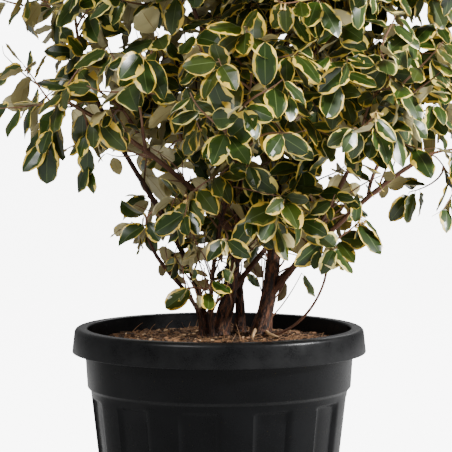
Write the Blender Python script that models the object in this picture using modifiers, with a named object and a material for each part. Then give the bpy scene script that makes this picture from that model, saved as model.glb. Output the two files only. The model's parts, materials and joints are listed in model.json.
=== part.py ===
"""A variegated elaeagnus in a fluted nursery pot, with a solid for each stem, bough and mass of foliage.

Metres, +Z up. The origin is the centre of the pot's flat underside, and the side seen first faces -Y.
A limb is a tapering sweep along one smooth path. The crown is built in tiers, and a mass of foliage
stands in its tier at an angle round the crown's axis. It keeps to a space of its own: an ellipsoid cut
by planes half way to its neighbours. Its twigs branch from one stem by a seeded rule, and its leaves are
fused to them.
"""

import math
from dataclasses import dataclass

import bmesh
import bpy
import numpy as np
from mathutils import Vector
from mathutils.bvhtree import BVHTree

PLANT = "variegated_elaeagnus"
GAP = 0.0003

# Pot
POT_HEIGHT = 0.275
POT_WALL = 0.0025
LIP_RADIUS = 0.1715
LIP_DEPTH = 0.0285
LIP_SHOULDER_RADIUS = 0.1690
LIP_ROUNDING = 0.0055
RIM_INNER_RADIUS = 0.1538
RIM_ROUNDING = 0.0015
BAND_TOP_RADIUS = 0.1580
BAND_FOOT_RADIUS = 0.1535
BAND_FOOT_Z = 0.2055
STEP_RADIUS = 0.1500
STEP_Z = 0.2025
FOOT_RADIUS = 0.1272
FOOT_ROUNDING = 0.0025
FLOOR_THICKNESS = 0.0035
FLUTES = 11
FLUTE_DEPTH = 0.0038
FLUTE_TOP_Z = 0.1965
FLUTE_FOOT_Z = 0.0100
FLUTE_EASE = 0.0030
FLUTE_TURN = math.radians(7.8)
COLUMN_SHARES = (0.0, 0.22, 0.28, 0.5, 0.72, 0.78)
SUNK_COLUMNS = (2, 3, 4)
DRAIN_HOLES = 5
DRAIN_RADIUS = 0.0070
DRAIN_RING_RADIUS = 0.0920

# Root ball
SOIL_EDGE_Z = 0.2565
SOIL_CROWN_Z = 0.2655
SOIL_CROWN_RADIUS = 0.0780
SOIL_SLOPE_RADIUS = 0.1180
SOIL_SLOPE_RISE = 0.0040
SOIL_SHOULDER_DEPTH = 0.0120
SOIL_STEPS = 36

# Limbs
STEM_SIDES = 8
BOUGH_SIDES = 6
FLARE_HEIGHT = 0.013
FLARE_SHARE = 0.35
STRAIGHT_FOOT = 0.003
BOUGH_STOP = 0.55
BOUGH_THICK = 0.0028
BOUGH_THIN = 0.0019
BOUGH_RISE = 0.75
BOUGH_LIFT = 0.5
BOUGH_SHARE = 0.8
TAPER_POWER = 0.8
STOUT = 0.005
SEAT_GAP = 0.00035
CLEARANCE = 0.0007

# Foliage
SEED = 2000
CROWN_AXIS = (0.030, 0.0)
SPACE_MARGIN = 0.0006
TWIG_SIDES = 3
TWIG_RADIUS = 0.0021
SHORTEST_TWIG = 0.012
PATH_COST = 0.45
SHARP_FORK_COST = 0.05
SHARPEST_FORK = math.radians(100)
TWIG_RISE = 0.35
TWIG_FOLLOW = 0.7
TWIG_TAPER = (1.1, 0.9)
LEADER_PAST = 0.1
LEADER_OUT = 0.3
OUT_RISE = 0.35
OUT_MIDDLE_Z = 0.55
AIM_JITTER = 0.25
AIM_DEPTH = 0.55
AIM_NEAREST = 0.72
AIM_SHIFT = 0.008
AIM_MARGIN = 0.016
LEAF_SIDES = 3
LEAF_LENGTH = 0.072
LEAF_WIDTH = 0.60
LEAF_THICKNESS = 0.026
LEAF_WAIST = 0.45
LEAF_NECK_PLACE = 0.080
LEAF_NECK_WIDTH = 0.026
LEAF_NECK_THICKNESS = 0.020
LEAF_SCALES = (1.0, 0.86, 0.70)
LEAF_DROOP = 0.28
LEAF_OUT = 0.40
LEAF_TILTS = (math.radians(28), math.radians(78))
LEAF_TRIES = 14
TRY_TURN = 1.1
FACE_RISE = 0.75
FACE_OUT = 0.55
FACE_SPREAD = 0.22
SPREAD_OUT = 0.6
ROOT_SINK = 0.0008
FIRST_ROOT = 0.0045
ROOT_STEP = 0.0052
ROOT_FREE = 0.0090
GOLDEN_TURN = math.radians(137.5)
UP = np.array((0.0, 0.0, 1.0))


@dataclass(frozen=True)
class Limb:
    """A stem with a foot on the soil, or a bough that leaves its parent at a share of its length."""

    name: str
    tip: tuple
    leave: tuple
    arrive: tuple
    thick: float
    thin: float
    foot: tuple = ()
    parent: str = ""
    share: float = 0.0
    rings: int = 9


@dataclass(frozen=True)
class Tier:
    """A ring of masses round the crown's axis, with the radii of a mass in it."""

    height: float
    half_width: float
    half_depth: float
    radii: tuple


@dataclass(frozen=True)
class Mass:
    """A space of foliage at an angle in its tier, counted from the right and turning to the back.

    Its twigs start at its carrier's tip, at the carrier's side, or on a bough of their own.
    """

    name: str
    tier: Tier
    degrees: float
    carrier: str
    share: float = 1.0
    reach: float = 1.0
    lift: float = 0.0
    size: float = 1.0
    bough: bool = False
    twigs: int = 4
    rosette: int = 3

    @property
    def centre(self):
        """The middle of the mass's space."""
        angle = math.radians(self.degrees)
        x = CROWN_AXIS[0] + self.reach * self.tier.half_width * math.cos(angle)
        y = CROWN_AXIS[1] + self.reach * self.tier.half_depth * math.sin(angle)
        return np.array((x, y, self.tier.height + self.lift))

    @property
    def radii(self):
        """The half axes of the mass's space."""
        return self.size * np.array(self.tier.radii)


STEMS = (
    Limb("stem_middle", (0.028, 0.004, 0.800), (0.24, -0.05, 1), (0.05, 0, 1), 0.0088, 0.0026,
         foot=(0.002, 0.006), rings=14),
    Limb("stem_right", (0.066, 0.004, 0.745), (0.25, 0, 1), (0.12, 0.05, 1), 0.0090, 0.0026,
         foot=(0.049, 0.001), rings=14),
    Limb("stem_left", (-0.156, -0.044, 0.588), (-0.10, -0.1, 1), (-0.25, -0.1, 1), 0.0036, 0.0021,
         foot=(-0.015, 0.010), rings=12),
    Limb("stem_slim", (0.022, -0.088, 0.482), (-0.1, 0.1, 1), (0.25, -0.8, 1), 0.0027, 0.0019,
         foot=(-0.008, -0.016), rings=11),
    Limb("stem_thin_left", (-0.082, -0.036, 0.388), (0.15, 0, 1), (-0.1, -0.1, 1), 0.0026, 0.0018,
         foot=(-0.021, -0.013), rings=10),
    Limb("stem_back", (-0.040, 0.082, 0.480), (0.1, -0.1, 1), (-0.5, 0.5, 1), 0.0058, 0.0024,
         foot=(0.024, 0.032), rings=10),
    Limb("shoot_low", (0.1242, -0.041, 0.352), (0.95, -0.35, 0.25), (0.05, 0, 1), 0.0014, 0.0011,
         foot=(0.0655, -0.020), rings=9),
)
BOUGHS = (
    Limb("bough_left_long", (-0.168, -0.070, 0.536), (-0.75, -0.5, 1), (-1, -0.25, 0.55), 0.0032, 0.0020,
         parent="stem_middle", share=0.215, rings=11),
    Limb("bough_back_low", (0.086, 0.066, 0.404), (0.75, 0.1, 1), (0.7, 0.7, 1), 0.0036, 0.0022,
         parent="stem_middle", share=0.085, rings=8),
    Limb("bough_right_inner", (0.146, -0.058, 0.458), (0.85, -0.35, 1), (0.45, -0.4, 1), 0.0036, 0.0021,
         parent="stem_right", share=0.088, rings=9),
    Limb("bough_right_long", (0.238, -0.020, 0.474), (1.2, 0.1, 1), (1, -0.05, 0.55), 0.0038, 0.0020,
         parent="stem_right", share=0.115, rings=11),
)

FOOT = Tier(0.330, 0.055, 0.050, (0.050, 0.046, 0.044))
LOW = Tier(0.424, 0.124, 0.080, (0.084, 0.082, 0.074))
MIDDLE = Tier(0.556, 0.214, 0.154, (0.122, 0.122, 0.120))
UPPER = Tier(0.716, 0.198, 0.166, (0.138, 0.138, 0.132))
CROWN = Tier(0.856, 0.102, 0.088, (0.126, 0.134, 0.114))
MASSES = (
    Mass("leaves_low_sprig", FOOT, 222, "stem_slim", 0.24, reach=1.55, lift=-0.002, twigs=1),
    Mass("leaves_left_low", LOW, 206, "stem_thin_left", reach=0.98, lift=-0.011, size=0.94),
    Mass("leaves_low_left_centre", LOW, 241, "stem_left", 0.40, lift=0.008, bough=True),
    Mass("leaves_low_right_centre", LOW, 288, "stem_middle", 0.24, reach=0.92, bough=True),
    Mass("leaves_right_low", LOW, 324, "shoot_low", lift=-0.039, size=0.84),
    Mass("leaves_right_hanging", LOW, 349, "bough_right_long", reach=1.76, lift=0.010, size=0.82),
    Mass("leaves_back_low_left", LOW, 131, "stem_back", 0.50, reach=1.08, lift=-0.010, bough=True),
    Mass("leaves_back_low_right", LOW, 48, "bough_back_low", reach=1.10, lift=-0.004),
    Mass("leaves_left_far", MIDDLE, 197, "bough_left_long", lift=-0.024, size=0.94),
    Mass("leaves_left_front", MIDDLE, 235, "bough_left_long", 0.60, reach=0.98, bough=True),
    Mass("leaves_front", MIDDLE, 271, "stem_slim", lift=-0.004),
    Mass("leaves_right_front", MIDDLE, 312, "bough_right_inner", reach=0.94, lift=-0.008),
    Mass("leaves_right_far", MIDDLE, 6, "bough_right_long", 0.66, reach=0.94, lift=0.014, size=0.92,
         bough=True),
    Mass("leaves_back_right", MIDDLE, 58, "stem_right", 0.30, reach=0.98, lift=0.010, bough=True),
    Mass("leaves_back_left", MIDDLE, 113, "stem_back", reach=1.02, lift=-0.012),
    Mass("leaves_left_back", MIDDLE, 152, "stem_back", 0.72, reach=0.98, lift=0.006, bough=True),
    Mass("leaves_upper_left", UPPER, 184, "stem_left", lift=-0.010),
    Mass("leaves_upper_front_left", UPPER, 240, "stem_middle", 0.52, reach=0.98, lift=0.012, bough=True),
    Mass("leaves_upper_front_right", UPPER, 294, "stem_right", 0.52, lift=-0.006, bough=True),
    Mass("leaves_upper_right", UPPER, 356, "stem_right", 0.60, reach=0.96, lift=0.006, size=0.96,
         bough=True),
    Mass("leaves_upper_back_right", UPPER, 62, "stem_right", 0.66, lift=-0.012, bough=True),
    Mass("leaves_upper_back_left", UPPER, 121, "stem_middle", 0.58, lift=0.016, size=0.96, bough=True),
    Mass("leaves_crown_left", CROWN, 200, "stem_middle", 0.82, lift=-0.010, bough=True),
    Mass("leaves_crown_right", CROWN, 4, "stem_right"),
    Mass("leaves_crown_top", CROWN, 0, "stem_middle", reach=0.0, lift=0.046, size=0.86),
)

SOLID_FINISHES = {
    "pot": ((0.012, 0.013, 0.014), 0.45),
    "root_ball": ((0.060, 0.032, 0.018), 0.95),
    "stem": ((0.085, 0.045, 0.028), 0.75),
    "bough": ((0.110, 0.058, 0.034), 0.70),
    "leaves": ((0.120, 0.165, 0.070), 0.40),
}


def unit(vector):
    """The vector at length one."""
    vector = np.asarray(vector, float)
    return vector / np.linalg.norm(vector)


def clear_scene():
    """Removes every object, so that the model stands alone."""
    for old in list(bpy.data.objects):
        bpy.data.objects.remove(old, do_unlink=True)


def collection(name):
    """A new collection under the scene."""
    made = bpy.data.collections.new(name)
    bpy.context.scene.collection.children.link(made)
    return made


def material(name):
    """A plain Principled material in the part's own colour and roughness."""
    colour, roughness = SOLID_FINISHES[name]
    made = bpy.data.materials.new(name)
    made.use_nodes = True
    shader = made.node_tree.nodes["Principled BSDF"]
    shader.inputs["Base Color"].default_value = (*colour, 1.0)
    shader.inputs["Roughness"].default_value = roughness
    shader.inputs["Metallic"].default_value = 0.0
    return made


def keep_largest(mesh):
    """Keeps the largest joined piece, and drops points that only lie along a straight edge.

    A sealed hollow is filled and a loose scrap dropped that way.
    """
    work = bmesh.new()
    work.from_mesh(mesh)
    left, pieces = set(work.faces), []
    while left:
        piece, front = [], [left.pop()]
        while front:
            face = front.pop()
            piece.append(face)
            near = {other for edge in face.edges for other in edge.link_faces} & left
            left -= near
            front.extend(near)
        pieces.append(piece)
    largest = max(pieces, key=len)
    scraps = [face for piece in pieces if piece is not largest for face in piece]
    bmesh.ops.delete(work, geom=scraps, context="FACES")
    between = [point for point in work.verts if len(point.link_edges) == 2]
    bmesh.ops.dissolve_verts(work, verts=between)
    work.to_mesh(mesh)
    work.free()


def mesh_object(name, mesh, home, finish=None):
    """An object for the mesh in the collection, with its material."""
    made = bpy.data.objects.new(name, mesh)
    home.objects.link(made)
    if finish:
        mesh.materials.clear()
        mesh.materials.append(finish)
    return made


def evaluated_mesh(obj, name):
    """The object's mesh with its modifiers or bevel applied, its doubles merged and its normals out."""
    bpy.context.view_layer.update()
    graph = bpy.context.evaluated_depsgraph_get()
    mesh = bpy.data.meshes.new_from_object(obj.evaluated_get(graph))
    mesh.name = name
    work = bmesh.new()
    work.from_mesh(mesh)
    bmesh.ops.remove_doubles(work, verts=work.verts, dist=1e-6)
    bmesh.ops.recalc_face_normals(work, faces=work.faces)
    work.to_mesh(mesh)
    work.free()
    return mesh


def turned(name, profile, steps, home):
    """A closed turned mesh from (radius, height) points that start and end on the axis."""
    outline = bpy.data.meshes.new(name)
    points = [(radius, 0.0, height) for radius, height in profile]
    outline.from_pydata(points, [(i, i + 1) for i in range(len(points) - 1)], [])
    guide = mesh_object(name + "_outline", outline, home)
    screw = guide.modifiers.new("Turn", "SCREW")
    screw.steps = steps
    screw.render_steps = steps
    screw.use_merge_vertices = True
    screw.merge_threshold = 1e-5
    mesh = evaluated_mesh(guide, name)
    bpy.data.objects.remove(guide, do_unlink=True)
    return mesh


def wall_radius(height):
    """The fluted wall's outer radius at a height, before its flutes."""
    share = (STEP_Z - height) / STEP_Z
    return STEP_RADIUS + share * (FOOT_RADIUS - STEP_RADIUS)


def pot_profile():
    """The pot's section, from the floor's middle up the inner wall, over the lip and down the outer side."""
    inner_foot = wall_radius(FLOOR_THICKNESS) - FLUTE_DEPTH - POT_WALL
    skirt_foot = POT_HEIGHT - LIP_DEPTH
    return [
        (0.0, FLOOR_THICKNESS),
        (inner_foot, FLOOR_THICKNESS),
        (wall_radius(STEP_Z) - FLUTE_DEPTH - POT_WALL, STEP_Z),
        (RIM_INNER_RADIUS, SOIL_EDGE_Z - SOIL_SHOULDER_DEPTH),
        (RIM_INNER_RADIUS, POT_HEIGHT - RIM_ROUNDING),
        (RIM_INNER_RADIUS + RIM_ROUNDING, POT_HEIGHT),
        (LIP_SHOULDER_RADIUS - LIP_ROUNDING, POT_HEIGHT),
        (LIP_SHOULDER_RADIUS, POT_HEIGHT - LIP_ROUNDING),
        (LIP_RADIUS, skirt_foot),
        (LIP_RADIUS - POT_WALL, skirt_foot),
        (LIP_SHOULDER_RADIUS - POT_WALL, POT_HEIGHT - 2 * POT_WALL),
        (BAND_TOP_RADIUS, POT_HEIGHT - 2 * POT_WALL),
        (BAND_FOOT_RADIUS, BAND_FOOT_Z),
        (STEP_RADIUS, STEP_Z),
        (wall_radius(FLUTE_TOP_Z), FLUTE_TOP_Z),
        (wall_radius(FLUTE_TOP_Z - FLUTE_EASE), FLUTE_TOP_Z - FLUTE_EASE),
        (wall_radius(FLUTE_FOOT_Z + FLUTE_EASE), FLUTE_FOOT_Z + FLUTE_EASE),
        (wall_radius(FLUTE_FOOT_Z), FLUTE_FOOT_Z),
        (FOOT_RADIUS - FOOT_ROUNDING, 0.0),
        (0.0, 0.0),
    ]


def press_flutes(mesh):
    """Presses the wide sunk panels into the turned wall, six columns of points to each flute."""
    columns = len(COLUMN_SHARES)
    slack = GAP / 2
    for point in mesh.vertices:
        x, y, z = point.co
        radius = math.hypot(x, y)
        outside = radius > wall_radius(z) - slack
        if not outside or not FLUTE_FOOT_Z - slack < z < FLUTE_TOP_Z + slack:
            continue
        column = round(math.atan2(y, x) / math.tau * FLUTES * columns) % (FLUTES * columns)
        flute, place = divmod(column, columns)
        angle = (flute + COLUMN_SHARES[place]) / FLUTES * math.tau
        full = FLUTE_FOOT_Z + slack < z < FLUTE_TOP_Z - slack
        if place in SUNK_COLUMNS and full:
            radius -= FLUTE_DEPTH
        point.co = (radius * math.cos(angle), radius * math.sin(angle), z)


def turn_mesh(mesh, angle):
    """Turns the mesh about Z."""
    cosine, sine = math.cos(angle), math.sin(angle)
    for point in mesh.vertices:
        x, y, z = point.co
        point.co = (x * cosine - y * sine, x * sine + y * cosine, z)


def build_pot(home, cutters):
    """The pot: one turned shell with a hanging lip and sunk panels, and drain holes through its floor."""
    mesh = turned("pot", pot_profile(), FLUTES * len(COLUMN_SHARES), home)
    press_flutes(mesh)
    turn_mesh(mesh, FLUTE_TURN - math.pi / 2)
    pot = mesh_object("pot", mesh, home, material("pot"))
    drill = bpy.data.meshes.new("drain_cutter")
    work = bmesh.new()
    for hole in range(DRAIN_HOLES):
        angle = hole / DRAIN_HOLES * math.tau
        made = bmesh.ops.create_cone(
            work, cap_ends=True, segments=8, radius1=DRAIN_RADIUS, radius2=DRAIN_RADIUS,
            depth=4 * FLOOR_THICKNESS,
        )
        side = Vector((math.cos(angle), math.sin(angle), 0.0)) * DRAIN_RING_RADIUS
        bmesh.ops.translate(work, verts=made["verts"], vec=side)
    work.to_mesh(drill)
    work.free()
    cutter = mesh_object("drain_cutter", drill, cutters)
    cutter.hide_render = True
    cutter.display_type = "WIRE"
    holes = pot.modifiers.new("Drain holes", "BOOLEAN")
    holes.operation = "DIFFERENCE"
    holes.object = cutter
    mesh.shade_smooth()
    mesh.set_sharp_from_angle(angle=math.radians(35))
    return pot


def build_root_ball(home):
    """The soil and roots that fill the pot, domed a little under the stems."""
    foot_z = FLOOR_THICKNESS + GAP
    slack = FLUTE_DEPTH + POT_WALL + GAP
    shoulder = SOIL_EDGE_Z - SOIL_SHOULDER_DEPTH
    profile = [
        (0.0, SOIL_CROWN_Z),
        (SOIL_CROWN_RADIUS, SOIL_CROWN_Z),
        (SOIL_SLOPE_RADIUS, SOIL_EDGE_Z + SOIL_SLOPE_RISE),
        (RIM_INNER_RADIUS - GAP, SOIL_EDGE_Z),
        (RIM_INNER_RADIUS - GAP, shoulder),
        (wall_radius(STEP_Z) - slack, STEP_Z),
        (wall_radius(foot_z) - slack, foot_z),
        (0.0, foot_z),
    ]
    mesh = turned("root_ball", profile, SOIL_STEPS, home)
    return mesh_object("root_ball", mesh, home, material("root_ball"))


def polygon_profile(sides, home):
    """A flat ring of one metre that gives a sweep its number of sides."""
    curve = bpy.data.curves.new(f"profile_{sides}", "CURVE")
    curve.dimensions = "2D"
    spline = curve.splines.new("POLY")
    spline.points.add(sides - 1)
    for i, point in enumerate(spline.points):
        angle = i / sides * math.tau
        point.co = (math.cos(angle), math.sin(angle), 0.0, 1.0)
    spline.use_cyclic_u = True
    made = bpy.data.objects.new(curve.name, curve)
    made.hide_render = True
    home.objects.link(made)
    return made


class Sweeper:
    """Makes tapering tubes along paths, from a curve whose bevel is a polygon."""

    def __init__(self, home):
        self.home = home
        self.profiles = {}

    def mesh(self, name, points, radii, sides):
        """A closed mesh along the points, with a radius at each."""
        if sides not in self.profiles:
            self.profiles[sides] = polygon_profile(sides, self.home)
        curve = bpy.data.curves.new(name, "CURVE")
        curve.dimensions = "3D"
        curve.bevel_mode = "OBJECT"
        curve.bevel_object = self.profiles[sides]
        curve.use_fill_caps = True
        spline = curve.splines.new("POLY")
        spline.points.add(len(points) - 1)
        for knot, place, radius in zip(spline.points, points, radii):
            knot.co = (*place, 1.0)
            knot.radius = radius
        guide = bpy.data.objects.new(name + "_path", curve)
        self.home.objects.link(guide)
        mesh = evaluated_mesh(guide, name)
        bpy.data.objects.remove(guide, do_unlink=True)
        bpy.data.curves.remove(curve)
        return mesh

    def remove_profiles(self):
        """Takes the polygons out of the scene again."""
        for profile in self.profiles.values():
            bpy.data.objects.remove(profile, do_unlink=True)
        self.profiles.clear()


def smooth_path(start, tip, leave, arrive, rings):
    """Points on the cubic from start to tip that sets off along leave and comes in along arrive."""
    start, tip = np.asarray(start, float), np.asarray(tip, float)
    reach = np.linalg.norm(tip - start)
    first, last = unit(leave) * reach, unit(arrive) * reach
    t = np.linspace(0.0, 1.0, rings)[:, None]
    return (
        (2 * t**3 - 3 * t**2 + 1) * start
        + (t**3 - 2 * t**2 + t) * first
        + (3 * t**2 - 2 * t**3) * tip
        + (t**3 - t**2) * last
    )


def lengths_along(points):
    """The distance of each point from the first, along the path."""
    steps = np.linalg.norm(np.diff(points, axis=0), axis=1)
    return np.concatenate([[0.0], np.cumsum(steps)])


@dataclass
class GrownLimb:
    """A limb's path and radii, and its number of sides, as built."""

    points: np.ndarray
    radii: np.ndarray
    sides: int

    def at(self, share):
        """(place, direction, radius) at a share of the length."""
        along = lengths_along(self.points)
        goal = share * along[-1]
        place = np.array([np.interp(goal, along, self.points[:, k]) for k in range(3)])
        index = min(int(np.searchsorted(along, goal, side="right")) - 1, len(along) - 2)
        heading = unit(self.points[index + 1] - self.points[index])
        return place, heading, float(np.interp(goal, along, self.radii))


def limb_radii(points, thick, thin, flared):
    """Radii that taper from thick to thin, with a root flare on a stem."""
    along = lengths_along(points)
    share = along / along[-1]
    radii = thick + (thin - thick) * share**TAPER_POWER
    if flared:
        radii = radii + FLARE_SHARE * thick * np.exp(-along / FLARE_HEIGHT)
    return radii


def stem_points(limb):
    """A stem's path, upright for its first few millimetres so that its foot is cut level."""
    foot = np.array((*limb.foot, SOIL_CROWN_Z + GAP))
    start = foot + UP * STRAIGHT_FOOT
    path = smooth_path(start, limb.tip, limb.leave, limb.arrive, limb.rings)
    return np.vstack([foot, path])


def own_bough(mass, carrier):
    """The bough that leaves the carrier and ends inside the mass's space."""
    start, heading, radius = carrier.at(mass.share)
    way = mass.centre - start
    tip = mass.centre - unit(way) * BOUGH_STOP * min(mass.radii)
    side = way - heading * float(way @ heading)
    leave = unit(side) + BOUGH_RISE * heading
    arrive = unit(way) + BOUGH_LIFT * UP
    thick = min(BOUGH_THICK, BOUGH_SHARE * radius)
    return Limb(
        mass.name.replace("leaves", "bough"), tuple(tip), tuple(leave), tuple(arrive),
        thick, min(BOUGH_THIN, BOUGH_SHARE * thick), parent=mass.carrier, share=mass.share, rings=6,
    )


def build_limb(limb, grown, sweeper, home, cutters, finish):
    """One limb's object. A bough's foot is cut back to sit clear of its parent's side."""
    if limb.foot:
        points = stem_points(limb)
    else:
        start, _, _ = grown[limb.parent].at(limb.share)
        points = smooth_path(start, limb.tip, limb.leave, limb.arrive, limb.rings)
    radii = limb_radii(points, limb.thick, limb.thin, bool(limb.foot))
    sides = STEM_SIDES if limb.thick > STOUT else BOUGH_SIDES
    grown[limb.name] = GrownLimb(points, radii, sides)
    made = mesh_object(limb.name, sweeper.mesh(limb.name, points, radii, sides), home, finish)
    made.data.shade_smooth()
    if limb.parent:
        parent = grown[limb.parent]
        seat_mesh = sweeper.mesh(limb.name + "_seat", parent.points, parent.radii + SEAT_GAP, parent.sides)
        cutter = mesh_object(limb.name + "_seat", seat_mesh, cutters)
        cutter.hide_render = True
        cutter.display_type = "WIRE"
        seat = made.modifiers.new("Seat", "BOOLEAN")
        seat.operation = "DIFFERENCE"
        seat.object = cutter
    return made


class Space:
    """An ellipsoid cut by a plane towards each neighbour, so that masses never meet."""

    def __init__(self, mass, rivals):
        self.centre = mass.centre
        self.radii = mass.radii
        self.planes = []
        for rival in rivals:
            way = rival.centre - self.centre
            share = np.mean(mass.radii) / (np.mean(mass.radii) + np.mean(rival.radii))
            normal = unit(way)
            self.planes.append((normal, float((self.centre + way * share) @ normal) - SPACE_MARGIN))

    def holds(self, points):
        """Whether every point is inside."""
        points = np.atleast_2d(points)
        inside = (((points - self.centre) / self.radii) ** 2).sum(axis=1) <= 1.0
        return bool(inside.all()) and all(bool((points @ n <= d).all()) for n, d in self.planes)

    def aims(self, count, rng, outward):
        """Points spread evenly through the space for twigs to grow to."""
        found = []
        shell = np.maximum(1.0 - AIM_DEPTH * LEAF_LENGTH / self.radii, 0.0)
        for i in range(count):
            height = 1.0 - 2.0 * (i + 0.5) / count
            turn = i * GOLDEN_TURN + rng.uniform(-AIM_JITTER, AIM_JITTER)
            ring = math.sqrt(1.0 - height**2)
            way = np.array((ring * math.cos(turn), ring * math.sin(turn), height))
            point = self.centre + way * self.radii * shell * rng.uniform(AIM_NEAREST, 1.0)
            point = point + outward * AIM_SHIFT
            for normal, limit in self.planes:
                beyond = float(point @ normal) - limit + AIM_MARGIN
                if beyond > 0:
                    point = point - normal * beyond
            found.append(point)
        return found


@dataclass
class Twig:
    """A twig's path and radii, and the number of the twig it grows from."""

    points: np.ndarray
    radii: np.ndarray
    parent: int


def grow_twigs(space, start, heading, radius, count, rng, outward):
    """The mass's twigs: a leader from the limb, then one twig to each aim from the cheapest place."""
    middle = space.centre + outward * LEADER_PAST * float(np.mean(space.radii))
    bend = start + heading * STRAIGHT_FOOT
    arrive = unit(middle - start) + LEADER_OUT * outward
    leader = np.vstack([start, smooth_path(bend, middle, heading, arrive, 3)])
    twigs = [Twig(leader, np.linspace(radius, TWIG_RADIUS, len(leader)), -1)]
    nodes = [
        (leader[i], unit(leader[i] - leader[i - 1]), along, 0)
        for i, along in enumerate(lengths_along(leader))
        if i > 0
    ]
    aims = sorted(space.aims(count, rng, outward), key=lambda p: float(np.linalg.norm(p - start)))
    for aim in aims:
        def cost(node):
            way = aim - node[0]
            far = np.linalg.norm(way)
            turn = math.acos(np.clip(float(way @ node[1]) / max(far, 1e-6), -1.0, 1.0))
            return far + PATH_COST * node[2] + (SHARP_FORK_COST if turn > SHARPEST_FORK else 0.0)
        place, way_in, along, parent = min(nodes, key=cost)
        reach = float(np.linalg.norm(aim - place))
        if reach < SHORTEST_TWIG:
            continue
        leave = TWIG_FOLLOW * way_in + unit(aim - place)
        arrive = unit(aim - place) + TWIG_RISE * UP
        path = smooth_path(place, aim, leave, arrive, 3)
        if not space.holds(path):
            continue
        thick, thin = TWIG_RADIUS * TWIG_TAPER[0], TWIG_RADIUS * TWIG_TAPER[1]
        twigs.append(Twig(path, np.linspace(thick, thin, len(path)), parent))
        nodes.append((path[1], unit(path[1] - path[0]), along + reach / 2, len(twigs) - 1))
        nodes.append((path[-1], unit(path[-1] - path[-2]), along + reach, len(twigs) - 1))
    return twigs


def leaf_shape():
    """(points, faces) of one leaf of unit length, from a sphere of three sides and three rows.

    Its root is at zero and its tip at one. The rows between are its neck and its waist. Two of its sides
    meet in a keel below, and the third is its upper face.
    """
    work = bmesh.new()
    bmesh.ops.create_uvsphere(work, u_segments=LEAF_SIDES, v_segments=3, radius=1.0)
    points = np.array([tuple(v.co) for v in work.verts])
    faces = [[v.index for v in face.verts] for face in work.faces]
    work.free()
    height = points[:, 2]
    across = points[:, :2] / np.maximum(np.linalg.norm(points[:, :2], axis=1), 1e-9)[:, None]
    pole = np.abs(height) > 0.9
    across[pole] = 0.0
    waist = height > 0
    shaped = np.empty_like(points)
    shaped[:, 0] = np.where(waist, LEAF_WAIST, LEAF_NECK_PLACE)
    shaped[pole, 0] = np.where(height[pole] > 0, 1.0, 0.0)
    shaped[:, 1] = across[:, 1] * np.where(waist, LEAF_WIDTH, LEAF_NECK_WIDTH) / math.sqrt(3)
    shaped[:, 2] = -across[:, 0] * np.where(waist, LEAF_THICKNESS, LEAF_NECK_THICKNESS) / 1.5
    return shaped, faces


def frame_of(along, face):
    """Columns: the leaf's length, its width and its upper side."""
    along = unit(along)
    face = unit(np.asarray(face) - along * float(np.asarray(face) @ along))
    return np.column_stack([along, np.cross(face, along), face])


def bvh(points, faces):
    """A search tree over the faces."""
    return BVHTree.FromPolygons([Vector(p) for p in points], faces)


def mesh_bvh(mesh):
    """A search tree over a mesh."""
    return BVHTree.FromPolygons([v.co for v in mesh.vertices], [tuple(p.vertices) for p in mesh.polygons])


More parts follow.
